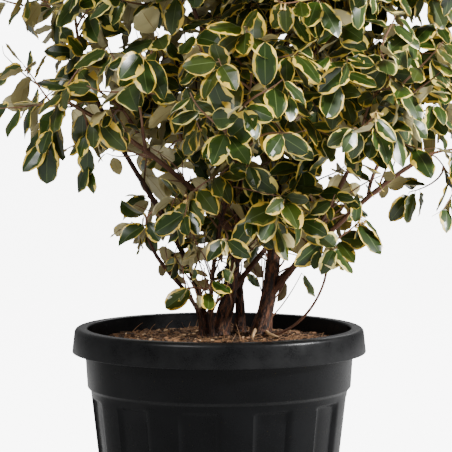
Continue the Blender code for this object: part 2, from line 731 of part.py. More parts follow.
class Foliage:
    """Fuses the twigs and leaves of one mass."""

    def __init__(self, sweeper, limb_trees):
        self.sweeper = sweeper
        self.limb_trees = limb_trees
        self.leaf_points, self.leaf_faces = leaf_shape()

    def meets_limb(self, tree):
        """Whether the shape comes too near a limb."""
        return any(bool(tree.overlap(limb)) for limb in self.limb_trees)

    def leaf_at(self, space, root, heading, outward, turn, tilt, scale, rng):
        """(points, faces) of a leaf that leaves the twig at this turn and tilt."""
        side = unit(np.cross(heading, UP + 0.01 * outward))
        other = np.cross(side, heading)
        spread = math.cos(turn) * side + math.sin(turn) * other
        away = math.cos(tilt) * heading + math.sin(tilt) * spread
        along = unit(away + LEAF_OUT * outward - LEAF_DROOP * UP)
        face = FACE_RISE * UP + FACE_OUT * outward + rng.normal(0.0, FACE_SPREAD, 3)
        length = LEAF_LENGTH * scale
        return root - along * ROOT_SINK + self.leaf_points * length @ frame_of(along, face).T, along

    def leaves(self, space, twigs, rosette, rng, outward, own_trees):
        """Leaves that fit: a rosette down each twig from its tip."""
        kept, trees = [], []
        for number, twig in enumerate(twigs):
            heading = unit(twig.points[-1] - twig.points[-2])
            tip = twig.points[-1]
            roots = [tip - heading * (FIRST_ROOT + ROOT_STEP * k) for k in range(rosette)]
            for k, root in enumerate(roots):
                for attempt in range(LEAF_TRIES):
                    turn = (k + rosette * number) * GOLDEN_TURN + attempt * TRY_TURN
                    tilt = rng.uniform(*LEAF_TILTS)
                    scale = LEAF_SCALES[attempt * len(LEAF_SCALES) // LEAF_TRIES]
                    spread = unit(root - space.centre + SPREAD_OUT * outward * float(np.mean(space.radii)))
                    points, along = self.leaf_at(space, root, heading, spread, turn, tilt, scale, rng)
                    if not space.holds(points):
                        continue
                    free = points + along * np.maximum(ROOT_FREE - (points - root) @ along, 0.0)[:, None]
                    tree = bvh(free, self.leaf_faces)
                    if self.meets_limb(bvh(points, self.leaf_faces)):
                        continue
                    if any(tree.overlap(other) for other in trees):
                        continue
                    if any(tree.overlap(other) for i, other in enumerate(own_trees) if i != number):
                        continue
                    kept.append(points)
                    trees.append(tree)
                    break
        return kept

    def build(self, mass, space, start, heading, radius, home, finish, rng):
        """The mass's object: every twig and leaf joined by one Boolean union."""
        rise = OUT_RISE * (mass.centre[2] - OUT_MIDDLE_Z)
        outward = unit((mass.centre[0] - CROWN_AXIS[0], mass.centre[1], rise))
        grown = grow_twigs(space, start, heading, radius, mass.twigs, rng, outward)
        twigs, meshes, trees, lost = [], [], [], set()
        for i, twig in enumerate(grown):
            mesh = self.sweeper.mesh(f"{mass.name}_twig_{i}", twig.points, twig.radii, TWIG_SIDES)
            tree = mesh_bvh(mesh)
            if i and (twig.parent in lost or self.meets_limb(tree)):
                bpy.data.meshes.remove(mesh)
                lost.add(i)
                continue
            twigs.append(twig)
            meshes.append(mesh)
            trees.append(tree)
        leaves = self.leaves(space, twigs, mass.rosette, rng, outward, trees)
        for points in leaves:
            mesh = bpy.data.meshes.new(mass.name + "_leaf")
            mesh.from_pydata(points.tolist(), [], self.leaf_faces)
            meshes.append(mesh)
        made = mesh_object(mass.name, meshes[0], home)
        operands = collection(mass.name + "_operands")
        for i, mesh in enumerate(meshes[1:]):
            mesh_object(f"{mass.name}_operand_{i}", mesh, operands)
        union = made.modifiers.new("Fuse", "BOOLEAN")
        union.operation = "UNION"
        union.operand_type = "COLLECTION"
        union.collection = operands
        union.solver = "EXACT"
        fused = evaluated_mesh(made, mass.name)
        keep_largest(fused)
        made.modifiers.clear()
        made.data = fused
        fused.materials.clear()
        fused.materials.append(finish)
        for operand in list(operands.objects):
            bpy.data.objects.remove(operand, do_unlink=True)
        bpy.data.collections.remove(operands)
        return made


def mass_start(mass, grown):
    """(place, heading, radius) where the mass's stem begins, clear of its carrier."""
    limb = mass.name.replace("leaves", "bough") if mass.bough else mass.carrier
    place, heading, radius = grown[limb].at(1.0 if mass.bough else mass.share)
    if mass.bough or mass.share == 1.0:
        return place + heading * GAP, heading, radius
    way = mass.centre - place
    side = unit(way - heading * float(way @ heading))
    return place + side * (radius + 2 * GAP), side, TWIG_RADIUS


def main():
    """Builds the pot, the root ball, the limbs and the masses."""
    clear_scene()
    home, cutters = collection(PLANT), collection("cutters")
    build_pot(home, cutters)
    build_root_ball(home)
    sweeper = Sweeper(cutters)
    stem_finish, bough_finish, leaf_finish = material("stem"), material("bough"), material("leaves")
    grown = {}
    for limb in STEMS:
        build_limb(limb, grown, sweeper, home, cutters, stem_finish)
    for limb in BOUGHS:
        build_limb(limb, grown, sweeper, home, cutters, bough_finish)
    for mass in MASSES:
        if mass.bough:
            bough = own_bough(mass, grown[mass.carrier])
            build_limb(bough, grown, sweeper, home, cutters, bough_finish)
    limb_trees = [
        mesh_bvh(sweeper.mesh(name + "_clear", limb.points, limb.radii + CLEARANCE, BOUGH_SIDES))
        for name, limb in grown.items()
    ]
    foliage = Foliage(sweeper, limb_trees)
    for number, mass in enumerate(MASSES):
        rng = np.random.default_rng(SEED + number)
        space = Space(mass, [other for other in MASSES if other is not mass])
        start, heading, radius = mass_start(mass, grown)
        foliage.build(mass, space, start, heading, radius, home, leaf_finish, rng)
    sweeper.remove_profiles()


if __name__ == "__main__":
    main()
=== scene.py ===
"""Looks of a variegated elaeagnus in a fluted nursery pot.

The limbs, the tiers of the crown and the spaces of its masses are the ones that the solids are built
from. Each mass is grown again here by the same rule, carried to finer twigs, and dressed with leaves of
life size.
"""

from __future__ import annotations

import json
import logging
import math
from dataclasses import dataclass, field
from enum import Enum, auto

import bpy
import numpy as np
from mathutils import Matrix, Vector, noise

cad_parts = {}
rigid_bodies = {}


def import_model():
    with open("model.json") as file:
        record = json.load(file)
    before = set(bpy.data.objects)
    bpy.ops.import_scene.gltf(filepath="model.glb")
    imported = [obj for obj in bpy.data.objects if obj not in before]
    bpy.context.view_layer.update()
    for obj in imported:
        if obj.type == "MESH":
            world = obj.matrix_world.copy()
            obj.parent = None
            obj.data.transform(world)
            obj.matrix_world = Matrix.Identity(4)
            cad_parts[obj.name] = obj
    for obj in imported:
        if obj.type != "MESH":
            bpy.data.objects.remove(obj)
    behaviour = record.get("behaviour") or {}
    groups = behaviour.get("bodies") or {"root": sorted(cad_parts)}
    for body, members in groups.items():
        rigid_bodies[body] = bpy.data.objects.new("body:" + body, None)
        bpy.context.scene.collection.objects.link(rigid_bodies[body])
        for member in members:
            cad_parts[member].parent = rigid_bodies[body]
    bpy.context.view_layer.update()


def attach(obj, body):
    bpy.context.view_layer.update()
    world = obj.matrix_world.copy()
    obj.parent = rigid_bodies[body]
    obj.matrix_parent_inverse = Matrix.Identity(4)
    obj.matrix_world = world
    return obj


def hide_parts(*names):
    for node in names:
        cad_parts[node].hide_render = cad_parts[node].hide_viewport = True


log = logging.getLogger("elaeagnus")

UP = np.array((0.0, 0.0, 1.0))
BACK = np.array((0.0, 1.0, 0.0))
GAP = 0.0003
SOIL_CROWN_Z = 0.2655
STRAIGHT_FOOT = 0.003
FLARE_HEIGHT = 0.013
FLARE_SHARE = 0.35
BOUGH_STOP = 0.55
BOUGH_THICK = 0.0028
BOUGH_THIN = 0.0019
BOUGH_RISE = 0.75
CROWN_AXIS = (0.030, 0.0)
SPACE_MARGIN = 0.0006
GOLDEN_TURN = math.radians(137.5)
LEAF_CREASE = math.radians(9.0)


@dataclass(frozen=True)
class Limb:
    """A stem with a foot on the soil, or a bough that leaves its parent at a share of its length."""

    name: str
    tip: tuple
    leave: tuple
    arrive: tuple
    thick: float
    thin: float
    foot: tuple = ()
    parent: str = ""
    share: float = 0.0


@dataclass(frozen=True)
class Tier:
    """A ring of masses round the crown's axis, with the radii of a mass in it."""

    name: str
    height: float
    half_width: float
    half_depth: float
    radii: tuple


@dataclass(frozen=True)
class Mass:
    """A space of foliage at an angle in its tier, counted from the right and turning to the back."""

    name: str
    tier: Tier
    degrees: float
    carrier: str
    share: float = 1.0
    reach: float = 1.0
    lift: float = 0.0
    size: float = 1.0
    bough: bool = False
    fullness: float = 1.0
    turned: float = 0.0
    leaf: float = 1.0
    trail: float = 0.0
    foot: float = 1.0

    @property
    def centre(self) -> np.ndarray:
        """The middle of the mass's space."""
        angle = math.radians(self.degrees)
        x = CROWN_AXIS[0] + self.reach * self.tier.half_width * math.cos(angle)
        y = CROWN_AXIS[1] + self.reach * self.tier.half_depth * math.sin(angle)
        return np.array((x, y, self.tier.height + self.lift))

    @property
    def radii(self) -> np.ndarray:
        """The half axes of the mass's space."""
        return self.size * np.array(self.tier.radii)


STEMS = (
    Limb("stem_middle", (0.028, 0.004, 0.800), (0.24, -0.05, 1), (0.05, 0, 1), 0.0088, 0.0026,
         foot=(0.002, 0.006)),
    Limb("stem_right", (0.066, 0.004, 0.745), (0.25, 0, 1), (0.12, 0.05, 1), 0.0090, 0.0026,
         foot=(0.049, 0.001)),
    Limb("stem_left", (-0.156, -0.044, 0.588), (-0.10, -0.1, 1), (-0.25, -0.1, 1), 0.0036, 0.0021,
         foot=(-0.015, 0.010)),
    Limb("stem_slim", (0.022, -0.088, 0.482), (-0.1, 0.1, 1), (0.25, -0.8, 1), 0.0027, 0.0019,
         foot=(-0.008, -0.016)),
    Limb("stem_thin_left", (-0.082, -0.036, 0.388), (0.15, 0, 1), (-0.1, -0.1, 1), 0.0026, 0.0018,
         foot=(-0.021, -0.013)),
    Limb("stem_back", (-0.040, 0.082, 0.480), (0.1, -0.1, 1), (-0.5, 0.5, 1), 0.0058, 0.0024,
         foot=(0.024, 0.032)),
    Limb("shoot_low", (0.1242, -0.041, 0.352), (0.95, -0.35, 0.25), (0.05, 0, 1), 0.0014, 0.0011,
         foot=(0.0655, -0.020)),
)
BOUGHS = (
    Limb("bough_left_long", (-0.168, -0.070, 0.536), (-0.75, -0.5, 1), (-1, -0.25, 0.55), 0.0032, 0.0020,
         parent="stem_middle", share=0.215),
    Limb("bough_back_low", (0.086, 0.066, 0.404), (0.75, 0.1, 1), (0.7, 0.7, 1), 0.0036, 0.0022,
         parent="stem_middle", share=0.085),
    Limb("bough_right_inner", (0.146, -0.058, 0.458), (0.85, -0.35, 1), (0.45, -0.4, 1), 0.0036, 0.0021,
         parent="stem_right", share=0.088),
    Limb("bough_right_long", (0.238, -0.020, 0.474), (1.2, 0.1, 1), (1, -0.05, 0.55), 0.0038, 0.0020,
         parent="stem_right", share=0.115),
)

FOOT = Tier("foot", 0.330, 0.055, 0.050, (0.050, 0.046, 0.044))
LOW = Tier("low", 0.424, 0.124, 0.080, (0.084, 0.082, 0.074))
MIDDLE = Tier("middle", 0.556, 0.214, 0.154, (0.122, 0.122, 0.120))
UPPER = Tier("upper", 0.716, 0.198, 0.166, (0.138, 0.138, 0.132))
CROWN = Tier("crown", 0.856, 0.102, 0.088, (0.126, 0.134, 0.114))
MASSES = (
    Mass("leaves_low_sprig", FOOT, 222, "stem_slim", 0.24, reach=1.55, lift=-0.002, fullness=0.25,
         turned=-0.9, leaf=1.15),
    Mass("leaves_left_low", LOW, 206, "stem_thin_left", reach=0.98, lift=-0.011, size=0.94, leaf=1.15,
         fullness=0.17, turned=-0.55),
    Mass("leaves_low_left_centre", LOW, 241, "stem_left", 0.40, lift=0.008, bough=True, leaf=1.15,
         fullness=0.22, turned=-0.45),
    Mass("leaves_low_right_centre", LOW, 288, "stem_middle", 0.24, reach=0.92, bough=True, leaf=1.15,
         fullness=0.4, turned=-0.2),
    Mass("leaves_right_low", LOW, 324, "shoot_low", lift=-0.039, size=0.84, leaf=1.12, turned=-0.6,
         fullness=0.42),
    Mass("leaves_right_hanging", LOW, 349, "bough_right_long", reach=1.76, lift=0.010, size=0.82,
         fullness=0.36, leaf=1.05, trail=0.8, turned=-0.55),
    Mass("leaves_back_low_left", LOW, 131, "stem_back", 0.50, reach=1.08, lift=-0.010, bough=True,
         fullness=0.3, leaf=0.85, turned=-0.4),
    Mass("leaves_back_low_right", LOW, 48, "bough_back_low", reach=1.10, lift=-0.004, fullness=0.7,
         leaf=0.9, turned=-0.4),
    Mass("leaves_left_far", MIDDLE, 197, "bough_left_long", lift=-0.024, size=0.94, fullness=0.22,
         leaf=1.1, turned=-0.15),
    Mass("leaves_left_front", MIDDLE, 235, "bough_left_long", 0.60, reach=0.98, bough=True, leaf=1.14,
         turned=-0.25, foot=0.2, fullness=0.2),
    Mass("leaves_front", MIDDLE, 271, "stem_slim", lift=-0.004, leaf=1.12, fullness=0.52, foot=0.68),
    Mass("leaves_right_front", MIDDLE, 312, "bough_right_inner", reach=0.94, lift=-0.008, leaf=1.12,
         fullness=0.56, turned=-0.25, foot=0.8),
    Mass("leaves_right_far", MIDDLE, 6, "bough_right_long", 0.66, reach=0.94, lift=0.014, size=0.92,
         bough=True, fullness=0.8, turned=-0.4),
    Mass("leaves_back_right", MIDDLE, 58, "stem_right", 0.30, reach=0.98, lift=0.010, bough=True,
         turned=-0.2),
    Mass("leaves_back_left", MIDDLE, 113, "stem_back", reach=1.02, lift=-0.012, fullness=1.2, turned=-0.2),
    Mass("leaves_left_back", MIDDLE, 152, "stem_back", 0.72, reach=0.98, lift=0.006, bough=True,
         turned=-0.3, fullness=0.28),
    Mass("leaves_upper_left", UPPER, 184, "stem_left", lift=-0.010, leaf=1.1, turned=-0.2, fullness=0.42),
    Mass("leaves_upper_front_left", UPPER, 240, "stem_middle", 0.52, reach=0.98, lift=0.012, bough=True,
         leaf=1.12, fullness=0.66),
    Mass("leaves_upper_front_right", UPPER, 294, "stem_right", 0.52, lift=-0.006, bough=True, leaf=1.12,
         fullness=0.64),
    Mass("leaves_upper_right", UPPER, 356, "stem_right", 0.60, reach=0.96, lift=0.006, size=0.96,
         bough=True, turned=-0.4),
    Mass("leaves_upper_back_right", UPPER, 62, "stem_right", 0.66, lift=-0.012, bough=True, fullness=1.1,
         turned=-0.2),
    Mass("leaves_upper_back_left", UPPER, 121, "stem_middle", 0.58, lift=0.016, size=0.96, bough=True,
         fullness=1.1, turned=-0.2),
    Mass("leaves_crown_left", CROWN, 200, "stem_middle", 0.82, lift=-0.010, bough=True),
    Mass("leaves_crown_right", CROWN, 4, "stem_right"),
    Mass("leaves_crown_top", CROWN, 0, "stem_middle", reach=0.0, lift=0.046, size=0.86),
)

# Each has a limb, the shares of its length between which thin twigs leave it, how many, and the most
# leaves that one bears.
STRAYS = (
    ("stem_middle", (0.02, 0.26), 20, 2),
    ("stem_right", (0.02, 0.28), 18, 1),
    ("stem_left", (0.04, 0.40), 18, 4),
    ("stem_slim", (0.06, 0.55), 14, 4),
    ("stem_thin_left", (0.15, 0.80), 12, 5),
    ("stem_back", (0.05, 0.45), 16, 3),
    ("bough_left_long", (0.10, 0.80), 12, 3),
    ("bough_right_long", (0.15, 0.85), 12, 2),
    ("bough_right_inner", (0.20, 0.80), 8, 3),
    ("bough_back_low", (0.10, 0.80), 8, 2),
)


# The same for the leafy twigs inside the crown.
INNER = (
    ("stem_middle", (0.26, 0.95), 42),
    ("stem_right", (0.22, 0.95), 42),
    ("stem_left", (0.35, 0.90), 10),
    ("stem_back", (0.45, 0.95), 12),
    ("stem_slim", (0.45, 0.90), 8),
    ("bough_right_inner", (0.30, 0.90), 6),
)


def unit(vector: np.ndarray) -> np.ndarray:
    """The vector, or each row of vectors, at length one."""
    vector = np.asarray(vector, float)
    return vector / np.linalg.norm(vector, axis=-1, keepdims=True)


def smooth_path(start, tip, leave, arrive, rings: int) -> np.ndarray:
    """Points on a cubic between two places.

    Args:
        start: Where the path begins.
        tip: Where it ends.
        leave: The way it sets off.
        arrive: The way it comes in.
        rings: How many points it has.

    Returns:
        An array of points.
    """
    start, tip = np.asarray(start, float), np.asarray(tip, float)
    reach = np.linalg.norm(tip - start)
    first, last = unit(leave) * reach, unit(arrive) * reach
    t = np.linspace(0.0, 1.0, rings)[:, None]
    return (
        (2 * t**3 - 3 * t**2 + 1) * start
        + (t**3 - 2 * t**2 + t) * first
        + (3 * t**2 - 2 * t**3) * tip
        + (t**3 - t**2) * last
    )


def lengths_along(points: np.ndarray) -> np.ndarray:
    """The distance of each point from the first, along the path."""
    steps = np.linalg.norm(np.diff(points, axis=0), axis=1)
    return np.concatenate([[0.0], np.cumsum(steps)])


@dataclass
class GrownLimb:
    """A limb's path and radii."""

    points: np.ndarray
    radii: np.ndarray

    def at(self, share: float) -> tuple[np.ndarray, np.ndarray, float]:
        """The place, heading and radius at a share of the length.

        Args:
            share: 0 at the foot and 1 at the tip.

        Returns:
            The place, the direction of growth and the radius.
        """
        along = lengths_along(self.points)
        goal = share * along[-1]
        place = np.array([np.interp(goal, along, self.points[:, k]) for k in range(3)])
        index = min(int(np.searchsorted(along, goal, side="right")) - 1, len(along) - 2)
        heading = unit(self.points[index + 1] - self.points[index])
        return place, heading, float(np.interp(goal, along, self.radii))


def deselect_all() -> None:
    """Leaves object mode with nothing selected."""
    if bpy.context.object and bpy.context.object.mode != "OBJECT":
        bpy.ops.object.mode_set(mode="OBJECT")
    bpy.ops.object.select_all(action="DESELECT")


def make_active(piece: bpy.types.Object) -> None:
    """Selects one object alone and makes it the active one."""
    deselect_all()
    piece.select_set(True)
    bpy.context.view_layer.objects.active = piece


def apply_modifier(piece: bpy.types.Object, name: str) -> None:
    """Applies one modifier of the piece."""
    make_active(piece)
    bpy.ops.object.modifier_apply(modifier=name)


class MeshJoiner:
    """Gathers many small shapes of quads into the arrays of one mesh."""

    def __init__(self) -> None:
        """Starts with no shapes."""
        self.points: list[np.ndarray] = []
        self.faces: list[np.ndarray] = []
        self.slots: list[np.ndarray] = []
        self.count = 0

    def add(self, points: np.ndarray, faces: np.ndarray, slots: np.ndarray) -> None:
        """Adds a shape.

        Args:
            points: Its points, one row each.
            faces: Rows of four point numbers. A triangle repeats its last point.
            slots: The material number of each face.
        """
        self.points.append(points)
        self.faces.append(faces + self.count)
        self.slots.append(slots)
        self.count += len(points)

    def build(self, name: str, materials: list, sharp: float) -> bpy.types.Object:
        """The joined object.

        Args:
            name: The object's name.
            materials: Its material slots, in order.
            sharp: Edges sharper than this angle are shaded hard.

        Returns:
            The new object, linked to the scene.
        """
        points = np.concatenate(self.points)
        faces = np.concatenate(self.faces)
        slots = np.concatenate(self.slots)
        triangle = faces[:, 2] == faces[:, 3]
        sizes = np.where(triangle, 3, 4)
        keep = np.ones(faces.shape, bool)
        keep[triangle, 3] = False
        mesh = bpy.data.meshes.new(name)
        mesh.vertices.add(len(points))
        mesh.vertices.foreach_set("co", points.astype(np.float32).ravel())
        mesh.loops.add(int(sizes.sum()))
        mesh.loops.foreach_set("vertex_index", faces[keep].astype(np.int32))
        mesh.polygons.add(len(faces))
        starts = np.concatenate([[0], np.cumsum(sizes)[:-1]]).astype(np.int32)
        mesh.polygons.foreach_set("loop_start", starts)
        for material in materials:
            mesh.materials.append(material)
        mesh.polygons.foreach_set("material_index", slots.astype(np.int32))
        mesh.update(calc_edges=True)
        mesh.validate()
        mesh.shade_smooth()
        mesh.set_sharp_from_angle(angle=sharp)
        piece = bpy.data.objects.new(name, mesh)
        bpy.context.scene.collection.objects.link(piece)
        return piece

    @property
    def triangles(self) -> int:
        """How many triangles the gathered faces make."""
        return sum(int(np.where(f[:, 2] == f[:, 3], 1, 2).sum()) for f in self.faces)


def carried_frames(points: np.ndarray) -> tuple[np.ndarray, np.ndarray]:
    """Two directions across a path at each point, carried along without twist.

    Args:
        points: The path.

    Returns:
        Two arrays of unit vectors across the path.
    """
    headings = unit(np.gradient(points, axis=0))
    side = unit(np.cross(headings[0], (0.31, 0.77, 0.55)))
    first = np.empty_like(points)
    for i, heading in enumerate(headings):
        side = unit(side - heading * float(side @ heading))
        first[i] = side
    return first, np.cross(headings, first)


def tube(points: np.ndarray, radii: np.ndarray, sides: int) -> tuple[np.ndarray, np.ndarray]:
    """A closed tube along a path.

    Args:
        points: The path.
        radii: A radius for each point, or a row of radii with one for each side.
        sides: How many sides it has.

    Returns:
        Its points, and its faces as rows of four point numbers.
    """
    first, second = carried_frames(points)
    angle = np.arange(sides) / sides * math.tau
    radii = np.broadcast_to(np.asarray(radii, float).reshape(len(points), -1), (len(points), sides))
    across = np.cos(angle)[None, :, None] * first[:, None] + np.sin(angle)[None, :, None] * second[:, None]
    rings = points[:, None] + across * radii[:, :, None]
    row = np.arange(len(points) - 1)[:, None] * sides
    here, there = np.arange(sides), (np.arange(sides) + 1) % sides
    walls = np.stack([row + here, row + there, row + sides + there, row + sides + here], axis=-1)
    last = (len(points) - 1) * sides
    foot, tip = len(points) * sides, len(points) * sides + 1
    feet = np.stack([there, here, np.full(sides, foot), np.full(sides, foot)], axis=-1)
    tips = np.stack([last + here, last + there, np.full(sides, tip), np.full(sides, tip)], axis=-1)
    shape = np.vstack([rings.reshape(-1, 3), points[0], points[-1]])
    return shape, np.vstack([walls.reshape(-1, 4), feet, tips])


class ShaderKit:
    """Builds materials, and the node group that several of them share."""

    def __init__(self) -> None:
        """Builds the shared group once."""
        self.speckle = self._speckle_group()

    @staticmethod
    def _speckle_group() -> bpy.types.NodeTree:
        """A group that mixes two colours by two scales of noise and gives the noise as a height."""
        group = bpy.data.node_groups.new("Speckle", "ShaderNodeTree")
        face = group.interface
        face.new_socket(name="Vector", in_out="INPUT", socket_type="NodeSocketVector")
        for name, value in (("Scale", 60.0), ("Fine Scale", 400.0), ("Fine Share", 0.4), ("Contrast", 2.0), ("Middle", 0.5)):
            socket = face.new_socket(name=name, in_out="INPUT", socket_type="NodeSocketFloat")
            socket.default_value = value
        for name in ("Dark", "Light"):
            face.new_socket(name=name, in_out="INPUT", socket_type="NodeSocketColor")
        face.new_socket(name="Color", in_out="OUTPUT", socket_type="NodeSocketColor")
        face.new_socket(name="Mask", in_out="OUTPUT", socket_type="NodeSocketFloat")
        nodes, links = group.nodes, group.links
        given, made = nodes.new("NodeGroupInput"), nodes.new("NodeGroupOutput")
        coarse, fine = nodes.new("ShaderNodeTexNoise"), nodes.new("ShaderNodeTexNoise")
        for texture, scale in ((coarse, "Scale"), (fine, "Fine Scale")):
            texture.inputs["Detail"].default_value = 5.0
            texture.inputs["Roughness"].default_value = 0.6
            links.new(given.outputs["Vector"], texture.inputs["Vector"])
            links.new(given.outputs[scale], texture.inputs["Scale"])
        blend = nodes.new("ShaderNodeMix")
        links.new(given.outputs["Fine Share"], blend.inputs["Factor"])
        links.new(coarse.outputs["Fac"], blend.inputs[2])
        links.new(fine.outputs["Fac"], blend.inputs[3])
        centred = nodes.new("ShaderNodeMath")
        centred.operation = "SUBTRACT"
        centred.inputs[1].default_value = 0.5
        links.new(blend.outputs[0], centred.inputs[0])
        stretched = nodes.new("ShaderNodeMath")
        stretched.operation = "MULTIPLY_ADD"
        stretched.use_clamp = True
        links.new(given.outputs["Middle"], stretched.inputs[2])
        links.new(centred.outputs[0], stretched.inputs[0])
        links.new(given.outputs["Contrast"], stretched.inputs[1])
        colour = nodes.new("ShaderNodeMix")
        colour.data_type = "RGBA"
        links.new(stretched.outputs[0], colour.inputs["Factor"])
        links.new(given.outputs["Dark"], colour.inputs[6])
        links.new(given.outputs["Light"], colour.inputs[7])
        links.new(colour.outputs[2], made.inputs["Color"])
        links.new(stretched.outputs[0], made.inputs["Mask"])
        return group

    def plain(self, finish: PlainFinish) -> bpy.types.Material:
        """A material of one colour, for a zone whose place is its own faces."""
        material = bpy.data.materials.new(finish.name)
        material.use_nodes = True
        shader = material.node_tree.nodes["Principled BSDF"]
        shader.inputs["Base Color"].default_value = (*finish.colour, 1.0)
        shader.inputs["Roughness"].default_value = finish.roughness
        shader.inputs["Specular IOR Level"].default_value = finish.specular
        shader.inputs["Coat Weight"].default_value = finish.coat
        shader.inputs["Coat Roughness"].default_value = 0.22
        return material

    def speckled(self, finish: SpeckledFinish) -> bpy.types.Material:
        """A material mottled by the shared group, with a bump from it."""
        material = bpy.data.materials.new(finish.name)
        material.use_nodes = True
        nodes, links = material.node_tree.nodes, material.node_tree.links
        shader = nodes["Principled BSDF"]
        place = nodes.new("ShaderNodeTexCoord")
        stretch = nodes.new("ShaderNodeMapping")
        stretch.inputs["Scale"].default_value = finish.stretch
        links.new(place.outputs["UV" if finish.along_surface else "Object"], stretch.inputs["Vector"])
        group = nodes.new("ShaderNodeGroup")
        group.node_tree = self.speckle
        links.new(stretch.outputs["Vector"], group.inputs["Vector"])
        group.inputs["Scale"].default_value = finish.scale
        group.inputs["Fine Scale"].default_value = finish.fine_scale
        group.inputs["Fine Share"].default_value = finish.fine_share
        group.inputs["Contrast"].default_value = finish.contrast
        group.inputs["Middle"].default_value = finish.middle
        group.inputs["Dark"].default_value = (*finish.dark, 1.0)
        group.inputs["Light"].default_value = (*finish.light, 1.0)
        links.new(group.outputs["Color"], shader.inputs["Base Color"])
        rough = nodes.new("ShaderNodeMapRange")
        rough.inputs["To Min"].default_value = finish.roughness[0]
        rough.inputs["To Max"].default_value = finish.roughness[1]
        links.new(group.outputs["Mask"], rough.inputs["Value"])
        links.new(rough.outputs["Result"], shader.inputs["Roughness"])
        bump = nodes.new("ShaderNodeBump")
        bump.inputs["Strength"].default_value = finish.bump
        bump.inputs["Distance"].default_value = finish.relief
        links.new(group.outputs["Mask"], bump.inputs["Height"])
        links.new(bump.outputs["Normal"], shader.inputs["Normal"])
        shader.inputs["Specular IOR Level"].default_value = finish.specular
        return material


@dataclass(frozen=True)
class PlainFinish:
    """One colour for a zone with faces of its own."""

    name: str
    colour: tuple
    roughness: float = 0.42
    specular: float = 0.5
    coat: float = 0.0


@dataclass(frozen=True)
class SpeckledFinish:
    """Two colours mottled by noise."""

    name: str
    dark: tuple
    light: tuple
    scale: float = 60.0
    fine_scale: float = 400.0
    fine_share: float = 0.4
    contrast: float = 2.0
    middle: float = 0.5
    roughness: tuple = (0.6, 0.85)
    bump: float = 0.4
    relief: float = 0.0008
    specular: float = 0.5
    stretch: tuple = (1.0, 1.0, 1.0)
    along_surface: bool = False


POT_PLASTIC = SpeckledFinish(
    "pot_plastic", (0.0007, 0.0008, 0.0010), (0.0034, 0.0036, 0.0042), scale=26.0, fine_scale=900.0,
    fine_share=0.35, contrast=2.4, roughness=(0.20, 0.36), bump=0.10, relief=0.0004, specular=0.11,
)
# The lip and the inner wall above the step are lighter than the rest of the pot. This is partly dust and partly
# painted light: a painted highlight where the lip catches the light, and a painted reflection on the inner wall.
RIM_DUST_AND_SHEEN = SpeckledFinish(
    "rim_dust_and_sheen", (0.0018, 0.0019, 0.0022), (0.0130, 0.0132, 0.0136), scale=34.0, fine_scale=1100.0,
    fine_share=0.55, contrast=3.4, middle=0.28, roughness=(0.26, 0.46), bump=0.14, relief=0.0004, specular=0.15,
)
COMPOST = SpeckledFinish(
    "compost", (0.016, 0.0075, 0.0032), (0.250, 0.125, 0.052), scale=110.0, fine_scale=620.0, fine_share=0.5,
    contrast=3.4, roughness=(0.85, 1.0), bump=1.0, relief=0.0020, specular=0.2,
)
STEM_BARK = SpeckledFinish(
    "stem_bark", (0.0105, 0.0040, 0.0021), (0.400, 0.160, 0.078), scale=3.6, fine_scale=16.0, fine_share=0.4,
    contrast=5.2, middle=0.16, roughness=(0.55, 0.9), bump=1.0, relief=0.0022, specular=0.35,
    stretch=(1.0, 0.16, 1.0), along_surface=True,
)
BOUGH_BARK = SpeckledFinish(
    "bough_bark", (0.022, 0.0082, 0.0042), (0.250, 0.104, 0.052), scale=5.0, fine_scale=30.0, fine_share=0.45,
    contrast=2.4, middle=0.34, roughness=(0.5, 0.8), bump=0.6, relief=0.0009, specular=0.35,
    stretch=(1.0, 0.25, 1.0), along_surface=True,
)


class Zone(Enum):
    """The zones of a leaf, each with faces of its own."""

    CENTRE = auto()
    HALO = auto()
    MARGIN = auto()
    RIB = auto()
    UNDERSIDE = auto()
    KEEL = auto()
    PETIOLE = auto()


@dataclass(frozen=True)
class SprayColours:
    """The colours that one spray's leaves are dealt."""

    name: str
    centre: tuple
    halo: tuple
    margin: tuple
    underside: tuple


RIB_COLOUR = (0.085, 0.120, 0.028)
KEEL_COLOUR = (0.330, 0.230, 0.095)
PETIOLE_COLOUR = (0.230, 0.150, 0.060)
SPRAYS = (
    SprayColours("deep", (0.014, 0.031, 0.003), (0.042, 0.068, 0.009), (0.780, 0.540, 0.072),
                 (0.450, 0.388, 0.182)),
    SprayColours("full", (0.021, 0.045, 0.004), (0.062, 0.095, 0.012), (0.915, 0.690, 0.115),
                 (0.520, 0.462, 0.240)),
    SprayColours("soft", (0.030, 0.054, 0.011), (0.086, 0.116, 0.026), (0.940, 0.775, 0.200),
                 (0.590, 0.535, 0.315)),
    SprayColours("olive", (0.030, 0.047, 0.004), (0.088, 0.106, 0.012), (0.700, 0.465, 0.056),
                 (0.430, 0.362, 0.150)),
)


@dataclass(frozen=True)
class LeafForm:
    """One leaf's shape at length one: its points, its faces and the zone of each face."""

    points: np.ndarray
    faces: np.ndarray
    zones: tuple

    @property
    def slots(self) -> np.ndarray:
        """The number of each face's zone, from zero."""
        return np.array([zone.value - 1 for zone in self.zones])


SMALL_STATIONS = (0.0, 0.07, 0.24, 0.43, 0.62, 0.83, 1.0)


